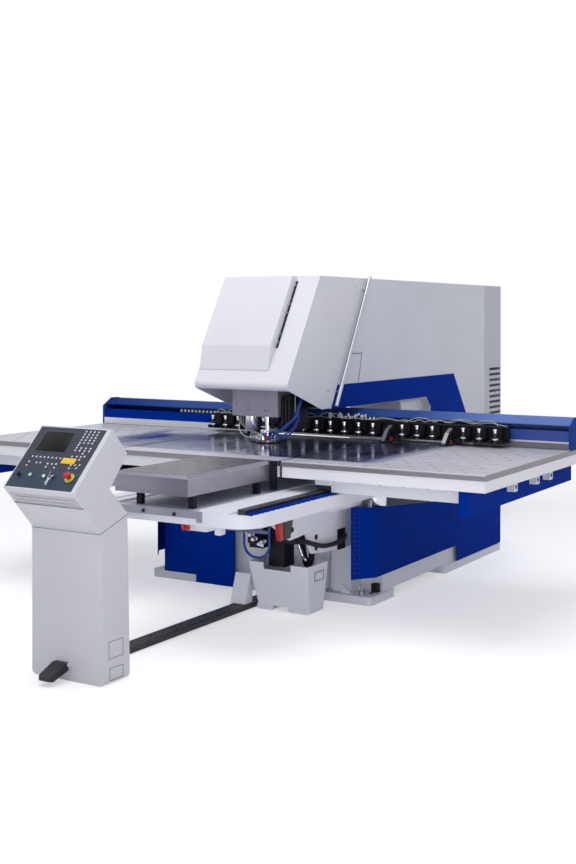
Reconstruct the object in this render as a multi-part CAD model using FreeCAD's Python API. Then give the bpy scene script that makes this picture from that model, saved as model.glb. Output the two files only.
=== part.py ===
import FreeCAD, Part
import math
import os

from FreeCAD import Vector

# CNC punching machine with a C-frame, a moving table and a linear tool magazine.
# Millimetres. +X runs along the cross rail to the right, +Y to the back, +Z up.
# The origin is on the floor, at the centre of the four anchor holes.

os.makedirs("parts", exist_ok=True)

# ---------------------------------------------------------------- driving dimensions

# floor anchors and base
ANCHOR_X = 860.0          # half spacing of the anchor holes across the machine
ANCHOR_Y = 980.0          # half spacing of the anchor holes along the machine
ANCHOR_R = 13.0           # anchor hole radius
FOOT_HALF_X = 965.0       # half width over the foot plates
FOOT_T = 60.0             # thickness of the foot plates
FRONT_FOOT_LEN = 380.0    # front foot plate along Y, centred on its anchors
REAR_FOOT_FRONT = 1080.0  # front edge of the rear foot plate behind the front anchors
REAR_FOOT_LEN = 1200.0
FOOT_CORNER = 30.0        # corner radius of the foot plates
POCKET = 50.0             # half width of the hand holes over the rear anchors
POCKET_H = 160.0
PLINTH_HALF_X = 396.0     # plinth under the rear of the column
BEAM_IN_X = 660.0         # inner face of the base beams
BEAM_OUT_X = 935.0
BEAM_FRONT = 45.0         # front end of the base beams behind the front anchors
BEAM_H = 420.0            # height of the base beams above the foot plates
BEAM_WALL = 24.0
BULKHEAD_HALF_X = 760.0
BULKHEAD_T = 290.0
BULKHEAD_BACK = 180.0     # back of the bulkhead behind the front anchors
SCREW_AT = ((860.0, -1118.0), (540.0, 1240.0))    # levelling screws, on both sides
SCREW_PAD_R = 24.0
SCREW_R = 11.0
SKIRT_T = 3.0
SKIRT_BEND_Y = 110.0      # where the skirt bends inwards, ahead of the front anchors
SKIRT_NOSE_X = 850.0
SKIRT_NOSE_Y = 277.0
SKIRT_TOP_FRONT = 700.0
SKIRT_TOP_REAR = 480.0
SKIRT_BOTTOM = 190.0
SKIRT_STEP = 66.0         # lower edge of the rear part of the skirt
SKIRT_STEP_Y = 1310.0     # where the lower edge steps down, behind the front anchors
SKIRT_LAP = 30.0          # how far the skirt's flanges stay inside the height of the base beams
SKIRT_FLANGE = 40.0
SKIRT_FLANGE_Y = (260.0, 2130.0)    # the flanges, behind the front anchors
FRONT_SKIRT_X = (-845.0, -185.0)
FRONT_SKIRT_STEP = -545.0 # right of this the front skirt reaches down past the foot plate
FRONT_SKIRT_LOW = 4.0
FRONT_SKIRT_TOP = 740.0

# punch axis and working height
PUNCH_AHEAD = 20.0        # punch axis ahead of the front anchors
TABLE_TOP = 1090.0        # working height of every table
TABLE_EDGE = 37.0         # steel edge of the tables
TABLE_APRON = 71.0        # white apron below the steel edge
TABLE_FRONT = 970.0       # front edge of the tables ahead of the punch axis
CENTRE_HALF_X = 690.0     # half width of the fixed centre table
CENTRE_BACK = 600.0       # back edge of the centre table behind the punch axis
TABLE_GAP = 20.0          # gap between the centre table and each moving table
TABLE_OUT_X = 2145.0      # outer edge of the moving tables
TABLE_BACK = 830.0        # back edge of the moving tables behind the punch axis
APRON_SET = 6.0           # how far the apron stands back from the steel edge

# C-frame and its covers
COVER_HALF_X = 406.0
COVER_T = 4.0
COVER_TOP = 2345.0
THROAT_TOP = 1340.0
THROAT_BACK = 2050.0      # throat wall behind the punch axis
THROAT_CORNER = 90.0      # corner between the throat's ceiling and its wall
COVER_BACK = 3300.0       # back edge of the main cover
REAR_COVER_LEN = 440.0
FRAME_PLATE = 60.0        # side plates of the C-frame
FRAME_SKIN = 45.0         # top, bottom and end plates of the C-frame
FRAME_GAP = 40.0          # room above the C-frame under the cover
ARM_BOTTOM = 1400.0
ARM_NOSE = 110.0          # front of the upper arm behind the punch axis
JAW_TOP = 860.0           # top of the C-frame's lower arm
JAW_BOTTOM = 260.0
LOUVRES = 14
LOUVRE_PITCH = 54.0
LOUVRE_H = 25.0
LOUVRE_LEN = 280.0
LOUVRE_TOP = 1540.0
STRIPE_T = 2.0
STRIPE_TOP = 1520.0
STRIPE_REAR_TOP = 2554.0  # rear upper corner of the stripe behind the punch axis
STRIPE_REAR_LOW = 2823.0
STRIPE_LOW = 700.0

# hood, door and grab rail
HOOD_NOSE = 405.0         # front lower edge of the hood ahead of the punch axis
HOOD_NOSE_Z = 1520.0
HOOD_BROW = 85.0          # front upper edge of the hood behind the punch axis
SEAM_TOP = 800.0          # hood seam at the top, behind the punch axis
SEAM_LOW = 245.0
SEAM_LOW_Z = 1350.0
SEAM_GAP = 3.0
HOOD_R = 40.0
DOOR_X = (-398.0, 210.0)
DOOR_RISE = 66.0          # how far the door stands off the hood
DOOR_SLOT = 26.0          # dark grip slot beside the door
DOOR_LOW = 0.335          # lower edge of the door, as a share of the hood's face
DOOR_TAPER = 0.155
DOOR_GAP = 4.0            # gap between the door's walls and the hood
HINGE_R = 7.0             # hinge knuckles of the door and the flap
HINGE_OFF = 12.0          # hinge axis off the hood's face
HINGE_IN = 7.0            # hinge axis inside the door's left wall
HINGE_LEN = 50.0
HINGE_PIN_R = 3.5
HINGE_AT = (0.45, 0.85)   # hinges, as shares of the hood's face
HINGE_CLEAR = 14.0        # swing room round each bracket
PIN_FIT = 0.05            # radial clearance of every pin and shaft
RAIL_R = 15.0
RAIL_OFF = 34.0           # grab rail's centre line outside the cover
RAIL_BEHIND = 22.0        # grab rail behind the hood's seam
FLAP = (508.0, 743.0, 1530.0, 1755.0)    # front, back, bottom and top of the side flap
FLAP_SKEW = 59.0
FLAP_T = 3.0
FLAP_BARREL_R = 5.0
FLAP_PIN_R = 2.0

# punching head
HEAD_X = (-190.0, 210.0)
HEAD_FRONT = 200.0
HEAD_LIFT = 210.0         # underside of the head block above the tables
HEAD_H = 360.0
HEAD_BOTTOM = TABLE_TOP + HEAD_LIFT
HEAD_TOP = HEAD_BOTTOM + HEAD_H
RAM_R = 24.0
RAM_LIFT = 96.0           # underside of the ram at rest above the tables
RAM_REST = TABLE_TOP + RAM_LIFT
RAM_IN_CYLINDER = 100.0   # how far the ram reaches into its cylinder
RAM_TOP = HEAD_TOP + RAM_IN_CYLINDER
GUIDE_RODS = ((-125.0, 24.0), (82.0, 10.0))    # X and radius of the stripper's guide rods
HOLDER_R = 58.0
HOLDER_H = 46.0
PUNCH_R = 11.0
DIE_FIT = 0.6             # die clearance round the punch
PUNCH_LIFT = 22.0         # punch tip at rest above the tables
PUNCH_REST = TABLE_TOP + PUNCH_LIFT
STRIPPER_R = 92.0
STRIPPER_T = 16.0
STRIPPER_LIFT = 8.0       # stripper ring above the tables
STRIPPER_Z = TABLE_TOP + STRIPPER_LIFT
DIE_R = 75.0
DIE_H = 44.0

# lower arm, rails and front table
ARM_FRONT = 1900.0        # front edge of the platform ahead of the punch axis
ARM_TOP = 880.0
ARM_T = 80.0
ARM_LEFT = -140.0
ARM_RIGHT = 1075.0        # right edge of the platform, outer edge of both rail beams
ARM_CORNER = 170.0
RAIL_BEAM_IN = 800.0      # inner edge of the rail beams
LEFT_BEAM_FRONT = 1300.0  # front end of the left rail beam ahead of the punch axis
REAR_POST_LEN = 160.0
SLAB_T = 12.0             # guide slabs on the platform
SLABS = ((-140.0, -40.0), (0.0, 70.0), (720.0, 926.0))
RIDGE_W = 8.0             # raised edge along the right slab
SHOULDER = (500.0, 100.0) # front and back of the shoulder beside the bulkhead
SHOULDER_W = 90.0
SHOULDER_OUT_X = BULKHEAD_HALF_X + SHOULDER_W
SHOULDER_H = 100.0
WEB_T = 20.0              # side plate under the platform
WEB_HOLE_R = 12.0
WEB_HOLES = ((909.0, 632.0), (592.0, 536.0), (592.0, 461.0))
WEB_WINDOW = (280.0, 205.0, 412.0, 530.0)
PLATE_X = (110.0, 700.0)  # steel plate on the platform
PLATE_T = 4.0
PLATE_LIP = 40.0          # how far the plate's lip hangs over the platform's front
PLATE_END = 40.0          # width of the thick piece at the lip's right end
RAIL_X = 985.0            # centre line of the guide rails
RAIL_W = 60.0
RAIL_H = 30.0
RAIL_WAIST = 8.0          # depth of the rail's undercut flanks
RAIL_BACK = 1560.0        # back end of the guide rails behind the punch axis
RAIL_FRONT = 1850.0
RAIL_FRONT_LEFT = 1270.0
STRIP_X = (1020.0, 1055.0)
STRIP_H = 13.0
STRIP_BACK = 530.0        # back end of the scalloped strips ahead of the punch axis
STRIP_END = 40.0
SCALLOP = 60.0
SCALLOP_R = 12.0
FRONT_TABLE_X = (80.0, 635.0)
FRONT_TABLE_FRONT = 1900.0
FRONT_TABLE_SKIRT = 97.0
FRONT_TABLE_BEVEL = 30.0
POST = 37.0
POST_SET = 60.0           # the front posts behind the front table's edge

# moving frame
SIDE_BEAM_X = 2000.0      # outer face of the side beams
SIDE_BEAM_T = 60.0
SIDE_BEAM_BOTTOM = 820.0
SIDE_BEAM_FRONT = 900.0
SIDE_BEAM_BACK = 1070.0
CARRIAGE_LEN = 220.0
CARRIAGE_H = 52.0
CROSS_FRONT = 630.0       # front face of the cross beam behind the punch axis
CROSS_DEPTH = 200.0
CROSS_TOP = 1310.0
CROSS_FACE_TOP = 1220.0
CROSS_LIFT = 3.0          # room under the cross beam over the centre table
CROSS_STRIP = 53.0
CROSS_HALF_X = 2125.0
END_CAP_T = 22.0

# tool magazine and clamps
MAG_LEN = 2594.0
MAG_CENTRE = 394.0
MAG_FRONT = 460.0         # front of the magazine behind the punch axis
MAG_BOTTOM = 1120.0
MAG_TOP = 1236.0
RUN_GAP = 0.3             # gap between the magazine and the rail it runs on
STATION_PITCH = 123.5
CLAMP_STATIONS = (3, 13, 17)
CART_W = 74.0
CLAMP_W = 66.0
CLAMP_PIVOT_Z = 1204.0
CLAMP_PIVOT_R = 10.0

# operator console
CONSOLE_X = (40.0, 560.0)
CONSOLE_FOOT_FRONT = 2590.0
CONSOLE_BACK = 2353.0
CONSOLE_TOP = (2507.0, 1411.0)
CONSOLE_LIP = (2820.0, 1092.0)
CONSOLE_BREAK_Z = 843.0
CONSOLE_WAIST = (2376.0, 929.0, 1265.0)    # back of the head: waist, its lower and upper height
CONSOLE_REAR = (2529.0, 1081.0)            # notch behind the head
PANEL_T = 3.0
PANEL_IN = 6.0            # panel's left edge inside the head
PANEL_W = 482.0
PANEL_SHARES = (0.02, 0.98)                # ends of the panel's recess, as shares of the slope
CONTROL_BORE = 16.0       # depth of the bores behind the controls
DRAWER_TRAVEL = 200.0
DRAWER_SHARES = (0.12, 0.36)               # drawer on the head's lower slope
DRAWER_BACK = 2545.0
DRAWER_WALL = 20.0        # head's wall beside the drawer
DRAWER_GAP = 0.5

# chip bin, duct and small parts
BIN_X = (262.0, 742.0)
BIN_FRONT = 671.0
BIN_DEPTH = 277.0
BIN_H = 337.0
BIN_DRAFT = 55.0
BIN_WALL = 12.0
BIN_FOOT_H = 36.0
DUCT_X = 218.0
DUCT_W = 116.0
DUCT_H = 35.0
DUCT_COVER_X = (128.0, 252.0)
DUCT_COVER_FRONT = 715.0
DUCT_COVER_H = 235.0
PUMP_SIDE = 102.0         # pump's centre line outside the bulkhead
PUMP_X = BULKHEAD_HALF_X + PUMP_SIDE
PUMP_BEHIND = 90.0        # pump behind the punch axis
PUMP_R = (62.0, 97.0, 83.0)     # shaft, flange and cap
PUMP_H = (160.0, 25.0, 110.0)
HOSE_BLOCK_X = (BULKHEAD_HALF_X - WEB_T - 90.0, BULKHEAD_HALF_X - WEB_T)
HOSE_BLOCK_Y = (830.0, 760.0)    # block behind the side plate that the black hose ends on
HOSE_Z = 540.0
RIB_PITCH = 15.0
RIBS = 24


# ---------------------------------------------------------------- helpers

PUNCH_Y = -ANCHOR_Y - PUNCH_AHEAD
BASE_TOP = FOOT_T + BEAM_H
REAR_FOOT_Y = -ANCHOR_Y + REAR_FOOT_FRONT
BASE_TAIL = REAR_FOOT_Y + REAR_FOOT_LEN
BULKHEAD_REAR = -ANCHOR_Y + BULKHEAD_BACK
BULKHEAD_FACE = BULKHEAD_REAR - BULKHEAD_T


def behind(distance):
    """Y of a point that lies this far behind the punch axis."""
    return PUNCH_Y + distance


def ahead(distance):
    """Y of a point that lies this far ahead of the punch axis."""
    return PUNCH_Y - distance


def box(x0, x1, y0, y1, z0, z1):
    """Block between two corners."""
    return Part.makeBox(x1 - x0, y1 - y0, z1 - z0, Vector(x0, y0, z0))


def face_of(points):
    return Part.Face(Part.makePolygon(points + points[:1]))


def side_prism(outline, x0, x1):
    """Block with a (Y, Z) outline, along X."""
    return face_of([Vector(x0, y, z) for y, z in outline]).extrude(Vector(x1 - x0, 0, 0))


def front_prism(outline, y0, y1):
    """Block with an (X, Z) outline, along Y."""
    return face_of([Vector(x, y0, z) for x, z in outline]).extrude(Vector(0, y1 - y0, 0))


def plan_prism(outline, z0, z1):
    """Block with an (X, Y) outline, along Z."""
    return face_of([Vector(x, y, z0) for x, y in outline]).extrude(Vector(0, 0, z1 - z0))


def rod(start, end, radius):
    """Round bar between two points."""
    return Part.makeCylinder(radius, (end - start).Length, start, end - start)


def post(x, y, z0, z1, radius):
    """Upright round bar."""
    return Part.makeCylinder(radius, z1 - z0, Vector(x, y, z0))


def fuse(shapes):
    whole = shapes[0]
    for shape in shapes[1:]:
        whole = whole.fuse(shape)
    return whole.removeSplitter()


def fillet(shape, radius, wanted):
    """Round the straight edges that the test picks by their end points."""
    edges = [e for e in shape.Edges if wanted(e.Vertexes[0].Point, e.Vertexes[-1].Point)]
    return shape.makeFillet(radius, edges)


def mirrored(shape):
    """The same piece on the other side of the machine's middle plane."""
    return shape.mirror(Vector(0, 0, 0), Vector(1, 0, 0))


def tube_path(points, radius, bend):
    """Round hose through points, with an arc of the same radius at each corner."""
    edges = []
    start = points[0]
    for before, corner, after in zip(points, points[1:], points[2:]):
        back = (before - corner).normalize()
        out = (after - corner).normalize()
        half = back.getAngle(out) / 2
        reach = bend / math.tan(half)
        enter = corner + back * reach
        leave = corner + out * reach
        middle = (back + out).normalize()
        mid = corner + middle * (bend / math.sin(half) - bend)
        edges.append(Part.LineSegment(start, enter).toShape())
        edges.append(Part.Arc(enter, mid, leave).toShape())
        start = leave
    edges.append(Part.LineSegment(start, points[-1]).toShape())
    ring = Part.Wire(Part.Circle(points[0], points[1] - points[0], radius).toShape())
    return Part.Wire(edges).makePipeShell([ring], True, False)


def save(name, shape):
    shape.exportStep("parts/" + name + ".step")


# ---------------------------------------------------------------- base

def base_frame():
    """Foot plates, welded channel beams, front bulkhead and rear plinth."""
    front = -ANCHOR_Y - FRONT_FOOT_LEN / 2
    pieces = [foot_plate(front, front + FRONT_FOOT_LEN), foot_plate(REAR_FOOT_Y, BASE_TAIL),
              box(-PLINTH_HALF_X, PLINTH_HALF_X, BASE_TAIL, behind(COVER_BACK), 0, FOOT_T),
              box(-BULKHEAD_HALF_X, BULKHEAD_HALF_X, BULKHEAD_FACE, BULKHEAD_REAR, FOOT_T, ARM_TOP - ARM_T)]
    for side in (-1, 1):
        pieces.append(base_beam(side))
    frame = fuse(pieces)
    for x in (-ANCHOR_X, ANCHOR_X):
        for y in (-ANCHOR_Y, ANCHOR_Y):
            frame = frame.cut(post(x, y, -1, FOOT_T + 1, ANCHOR_R))
    return frame


def foot_plate(y0, y1):
    """Thick plate on the floor with rounded corners."""
    plate = box(-FOOT_HALF_X, FOOT_HALF_X, y0, y1, 0, FOOT_T)
    return fillet(plate, FOOT_CORNER, lambda a, b: abs(a.z - b.z) > 1)


def base_beam(side):
    """Channel beam along one side, open towards the column, with a hand hole over its anchor."""
    front = -ANCHOR_Y + BEAM_FRONT
    inner, outer = sorted((side * BEAM_IN_X, side * BEAM_OUT_X))
    beam = box(inner, outer, front, BASE_TAIL, FOOT_T, BASE_TOP)
    x0, x1 = sorted((side * (BEAM_IN_X - 1), side * (BEAM_OUT_X - BEAM_WALL)))
    beam = beam.cut(box(x0, x1, BULKHEAD_REAR + BEAM_WALL, BASE_TAIL - BEAM_WALL, FOOT_T + BEAM_WALL,
                        BASE_TOP - BEAM_WALL))
    x0, x1 = sorted((side * (ANCHOR_X - POCKET), side * (FOOT_HALF_X + 1)))
    return beam.cut(box(x0, x1, ANCHOR_Y - POCKET, ANCHOR_Y + POCKET, FOOT_T, FOOT_T + POCKET_H))


def skirt(side):
    """Blue skirt round one side of the base, bent inwards at its nose and stepped at its tail."""
    nose = -ANCHOR_Y - SKIRT_NOSE_Y
    bend = -ANCHOR_Y - SKIRT_BEND_Y
    tail = BASE_TAIL - 10
    out = FOOT_HALF_X
    outer = [(SKIRT_NOSE_X, nose), (out, bend), (out, tail), (out - SKIRT_T, tail),
             (out - SKIRT_T, bend + 1), (SKIRT_NOSE_X - SKIRT_T, nose + SKIRT_T)]
    wall = plan_prism(outer, 0, SKIRT_TOP_FRONT + 1)
    step = -ANCHOR_Y + SKIRT_STEP_Y
    shape = side_prism([(nose - 1, SKIRT_BOTTOM), (step, SKIRT_BOTTOM), (step, SKIRT_STEP),
                        (tail + 1, SKIRT_STEP), (tail + 1, SKIRT_TOP_REAR), (nose - 1, SKIRT_TOP_FRONT)],
                       SKIRT_NOSE_X - 10, out + 1)
    panel = wall.common(shape)
    # two folded flanges that bolt against the base beam
    for distance in SKIRT_FLANGE_Y:
        y = -ANCHOR_Y + distance
        panel = panel.fuse(box(BEAM_OUT_X, out - SKIRT_T / 2, y, y + SKIRT_FLANGE, SKIRT_BOTTOM + SKIRT_LAP,
                               BASE_TOP - 2 * SKIRT_LAP))
    panel = panel.removeSplitter()
    return panel if side > 0 else mirrored(panel)


def front_skirt():
    """Blue panel in front of the bulkhead, on the face of the front foot plate."""
    face = -ANCHOR_Y - FRONT_FOOT_LEN / 2
    x0, x1 = FRONT_SKIRT_X
    outline = [(x0, FOOT_T), (FRONT_SKIRT_STEP, FOOT_T), (FRONT_SKIRT_STEP, FRONT_SKIRT_LOW),
               (x1, FRONT_SKIRT_LOW), (x1, FRONT_SKIRT_TOP), (x0, FRONT_SKIRT_TOP)]
    return front_prism(outline, face - SKIRT_T, face)


def levelling_screws():
    """Four levelling screws on pads, on the open parts of the foot plates."""
    screws = []
    for x, y in SCREW_AT:
        for side in (-1, 1):
            screw = post(side * x, y, FOOT_T, FOOT_T + 26, SCREW_PAD_R)
            screw = screw.fuse(post(side * x, y, FOOT_T + 26, FOOT_T + 70, SCREW_R))
            screws.append(screw.removeSplitter())
    return screws


# ---------------------------------------------------------------- C-frame and covers

def c_frame():
    """Box-section C-frame: two side plates joined by flange and end plates, with a solid nose."""
    back = behind(COVER_BACK) - 20
    top = COVER_TOP - COVER_T - FRAME_GAP
    jaw_front = BULKHEAD_REAR
    wall = behind(THROAT_BACK) + COVER_T
    outline = [(jaw_front, JAW_BOTTOM), (jaw_front, JAW_TOP), (wall, JAW_TOP), (wall, ARM_BOTTOM - 90),
               (wall - 90, ARM_BOTTOM), (behind(ARM_NOSE), ARM_BOTTOM), (behind(ARM_NOSE), top - 260),
               (behind(ARM_NOSE) + 180, top), (back, top), (back, FOOT_T), (wall, FOOT_T),
               (wall, JAW_BOTTOM)]
    half = COVER_HALF_X - COVER_T
    plates = [side_prism(outline, side * half - (FRAME_PLATE if side > 0 else 0),
                         side * half + (0 if side > 0 else FRAME_PLATE)) for side in (-1, 1)]
    inner = half - FRAME_PLATE
    skins = [box(-inner, inner, behind(ARM_NOSE), wall - 90, ARM_BOTTOM, ARM_BOTTOM + FRAME_SKIN),
             box(-inner, inner, behind(ARM_NOSE) + 180, back, top - FRAME_SKIN, top),
             box(-inner, inner, behind(ARM_NOSE), behind(ARM_NOSE) + FRAME_SKIN, ARM_BOTTOM, top - 260),
             box(-inner, inner, jaw_front, wall + FRAME_SKIN, JAW_TOP - FRAME_SKIN, JAW_TOP),
             box(-inner, inner, wall, wall + FRAME_SKIN, JAW_TOP, ARM_BOTTOM - 90),
             box(-inner, inner, jaw_front, jaw_front + FRAME_SKIN, JAW_BOTTOM, JAW_TOP - FRAME_SKIN),
             box(-inner, inner, back - FRAME_SKIN, back, FOOT_T, top - FRAME_SKIN)]
    return fuse(plates + skins)


def cover_outline(inset):
    """Side outline of the main cover, with its throat, drawn in by the wall where asked."""
    seam_slope = (SEAM_TOP - SEAM_LOW) / (COVER_TOP - SEAM_LOW_Z)
    low = THROAT_TOP + inset
    top = COVER_TOP - inset
    front_low = behind(SEAM_LOW + (low - SEAM_LOW_Z) * seam_slope + SEAM_GAP)
    front_top = behind(SEAM_LOW + (top - SEAM_LOW_Z) * seam_slope + SEAM_GAP)
    wall = behind(THROAT_BACK) + inset
    back = behind(COVER_BACK)
    return [(front_low, low), (wall - THROAT_CORNER, low), (wall, low - THROAT_CORNER), (wall, FOOT_T),
            (back, FOOT_T), (back, top), (front_top, top)]


def body_cover():
    """Main sheet-metal cover over the arm and column: sides, top, throat ceiling and throat wall."""
    outer = side_prism(cover_outline(0), -COVER_HALF_X, COVER_HALF_X)
    inside = cover_outline(COVER_T)
    front = inside[0][0] - 30
    inside[0] = (front, inside[0][1])
    inside[-1] = (inside[-1][0] - 30, inside[-1][1])
    inside[4] = (inside[4][0] + 30, FOOT_T - 30)
    inside[5] = (inside[5][0] + 30, inside[5][1])
    inside[3] = (inside[3][0], FOOT_T - 30)
    half = COVER_HALF_X - COVER_T
    cover = outer.cut(side_prism(inside, -half, half))
    wall = behind(THROAT_BACK)
    cover = cover.cut(box(-half, half, wall - 1, wall + COVER_T + 1, JAW_BOTTOM - 6, JAW_TOP + 6))
    return Part.makeCompound([fuse([cover] + flap_hinges()), throat_cover().cut(outer)])


def rear_cover():
    """Rear cabinet with louvred sides, open towards the main cover."""
    front = behind(COVER_BACK) + RUN_GAP
    back = behind(COVER_BACK + REAR_COVER_LEN)
    shell = box(-COVER_HALF_X, COVER_HALF_X, front, back, FOOT_T, COVER_TOP)
    half = COVER_HALF_X - COVER_T
    shell = fillet(shell, 12.0, lambda a, b: abs(a.y - back) < 1 and abs(b.y - back) < 1
                   and abs(a.x - b.x) < 1)
    shell = shell.cut(box(-half, half, front - 1, back - COVER_T, FOOT_T - 1, COVER_TOP - COVER_T))
    slot_back = back - 30
    slots = []
    for row in range(LOUVRES):
        z = LOUVRE_TOP - row * LOUVRE_PITCH
        slots.append(box(-COVER_HALF_X - 1, COVER_HALF_X + 1, slot_back - LOUVRE_LEN, slot_back,
                         z - LOUVRE_H, z))
    return shell.cut(Part.makeCompound(slots))


def side_stripe(side):
    """Blue panel on the side of the cover, round the throat and down the column."""
    seam_slope = (SEAM_TOP - SEAM_LOW) / (COVER_TOP - SEAM_LOW_Z)
    front_low = SEAM_LOW + (THROAT_TOP - SEAM_LOW_Z) * seam_slope + SEAM_GAP + 8
    front_top = SEAM_LOW + (STRIPE_TOP - SEAM_LOW_Z) * seam_slope + SEAM_GAP + 8
    lean = (STRIPE_REAR_LOW - STRIPE_REAR_TOP) / 354.0
    outline = [(behind(front_low), THROAT_TOP), (behind(THROAT_BACK - THROAT_CORNER), THROAT_TOP),
               (behind(THROAT_BACK), THROAT_TOP - THROAT_CORNER), (behind(THROAT_BACK), STRIPE_LOW),
               (behind(STRIPE_REAR_TOP + (STRIPE_TOP - STRIPE_LOW) * lean), STRIPE_LOW),
               (behind(STRIPE_REAR_TOP), STRIPE_TOP), (behind(front_top), STRIPE_TOP)]
    panel = side_prism(outline, COVER_HALF_X, COVER_HALF_X + STRIPE_T)
    return panel if side > 0 else mirrored(panel)


def throat_cover():
    """Rounded white cover that stands out of the throat wall."""
    back = behind(THROAT_BACK)
    block = box(210, 330, back - 440, back, 1216, 1334)
    return fillet(block, 50.0, lambda a, b: abs(a.z - 1334) < 1 and abs(b.z - 1334) < 1
                  and abs(a.x - b.x) < 1 and abs(a.y - b.y) > 100)


HOOD_RISE = COVER_TOP - HOOD_NOSE_Z
HOOD_RUN = HOOD_NOSE + HOOD_BROW
HOOD_FACE = math.hypot(HOOD_RISE, HOOD_RUN)
FACE_UP = Vector(0, HOOD_RUN / HOOD_FACE, HOOD_RISE / HOOD_FACE)
FACE_OUT = Vector(0, -HOOD_RISE / HOOD_FACE, HOOD_RUN / HOOD_FACE)


def hood_point(along, out=0.0, x=0.0):
    """Point on the hood's slanted face, at a share of its height and a distance off it."""
    nose = Vector(x, ahead(HOOD_NOSE), HOOD_NOSE_Z)
    return nose + FACE_UP * (along * HOOD_FACE) + FACE_OUT * out


def hood_outline(inset):
    """Side outline of the hood, drawn in by the wall at its face and top."""
    seam_slope = (SEAM_TOP - SEAM_LOW) / (COVER_TOP - SEAM_LOW_Z)
    top = COVER_TOP - inset
    low = hood_point(0, -inset)
    high = hood_point(1, -inset)
    rise = (top - high.z) / FACE_UP.z
    high = high + FACE_UP * rise
    seam_top = behind(SEAM_LOW + (top - SEAM_LOW_Z) * seam_slope)
    return [(low.y, low.z), (high.y, top), (seam_top, top), (behind(SEAM_LOW), SEAM_LOW_Z),
            (behind(112), 1346), (behind(90), 1352)]


def hood():
    """Sheet-metal hood over the head: slanted face, top and two cheeks, open below and behind."""
    outer = side_prism(hood_outline(0), -COVER_HALF_X, COVER_HALF_X)
    nose = hood_point(0)
    outer = fillet(outer, HOOD_R, lambda a, b: abs(a.z - nose.z) < 1 and abs(b.z - nose.z) < 1)
    low = hood_point(-0.2, -COVER_T)
    high, seam = hood_outline(COVER_T)[1:3]
    inside = [(low.y, low.z), high, (seam[0] + 60, seam[1]), (behind(SEAM_LOW) + 60, SEAM_LOW_Z - 100)]
    half = COVER_HALF_X - COVER_T
    core = side_prism(inside, -half, half)
    lip = box(-COVER_HALF_X, COVER_HALF_X, ahead(HOOD_NOSE) - 20, ahead(HOOD_NOSE - HOOD_R - 6),
              HOOD_NOSE_Z - 60, HOOD_NOSE_Z + HOOD_R)
    return fuse([outer.cut(core.cut(lip))] + hinge_pins())


def front_door():
    """Raised door on the hood's face: a flat front, a bevelled lower end and two hinge knuckles."""
    x0, x1 = DOOR_X
    top = COVER_TOP - 1
    outer = [hood_point(DOOR_TAPER, DOOR_GAP), hood_point(DOOR_LOW, DOOR_RISE),
             level_with(top, DOOR_RISE), level_with(top, DOOR_GAP)]
    inner = [hood_point(DOOR_TAPER, 0), hood_point(DOOR_LOW + 0.01, DOOR_RISE - COVER_T),
             level_with(top - COVER_T, DOOR_RISE - COVER_T), level_with(top - COVER_T, 0)]
    shell = side_prism([(p.y, p.z) for p in outer], x0, x1)
    shell = shell.cut(side_prism([(p.y, p.z) for p in inner], x0 + COVER_T, x1 - COVER_T))
    for share in HINGE_AT:
        start = hinge_start(share)
        end = start + FACE_UP * HINGE_LEN
        for low, high in ((start - FACE_UP * 16, start), (end, end + FACE_UP * 16)):
            shell = shell.cut(rod(low, high, HINGE_CLEAR))
        shell = shell.fuse(rod(start + FACE_UP, end - FACE_UP, HINGE_R))
        shell = shell.cut(rod(start - FACE_UP * 2, end + FACE_UP * 2, HINGE_PIN_R + PIN_FIT))
    return shell.removeSplitter()


def level_with(z, out):
    """Point on a line parallel to the hood's face, at a height."""
    start = hood_point(0, out)
    return start + FACE_UP * ((z - start.z) / FACE_UP.z)


def hinge_start(share):
    """Lower end of one of the door's hinge knuckles."""
    return hood_point(share, HINGE_OFF, DOOR_X[0] + HINGE_IN)


def hinge_pins():
    """Two pins, each on two brackets, that carry the front door."""
    pins = []
    for share in HINGE_AT:
        start = hinge_start(share)
        pin = rod(start - FACE_UP * 12, start + FACE_UP * (HINGE_LEN + 12), HINGE_PIN_R)
        for at in (-8, HINGE_LEN + 8):
            centre = start + FACE_UP * at
            pin = pin.fuse(rod(centre - FACE_OUT * (HINGE_OFF + 1), centre, 3))
        pins.append(pin)
    return pins


def grab_rail():
    """Stainless tube along the hood's seam on the right side, on two standoffs."""
    seam = Vector(0, SEAM_TOP - SEAM_LOW, COVER_TOP - SEAM_LOW_Z)
    x = COVER_HALF_X + RAIL_OFF
    low = Vector(x, behind(SEAM_LOW + RAIL_BEHIND), SEAM_LOW_Z + 10)
    tube = rod(low, low + seam, RAIL_R)
    for share in (0.11, 0.89):
        at = low + seam * share
        tube = tube.fuse(rod(Vector(COVER_HALF_X + STRIPE_T, at.y, at.z), at, RAIL_R / 2))
    return tube.removeSplitter()


FLAP_AXIS_X = COVER_HALF_X + FLAP_BARREL_R + RUN_GAP
FLAP_AXIS_Z = FLAP[3] + FLAP_BARREL_R


def flap_barrel(share0, share1, radius):
    """Stretch of the flap's hinge line, between two shares of its length."""
    y0 = behind(FLAP[0])
    length = FLAP[1] - FLAP[0]
    start = Vector(FLAP_AXIS_X, y0 + share0 * length, FLAP_AXIS_Z)
    return rod(start, start + Vector(0, (share1 - share0) * length, 0), radius)


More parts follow.
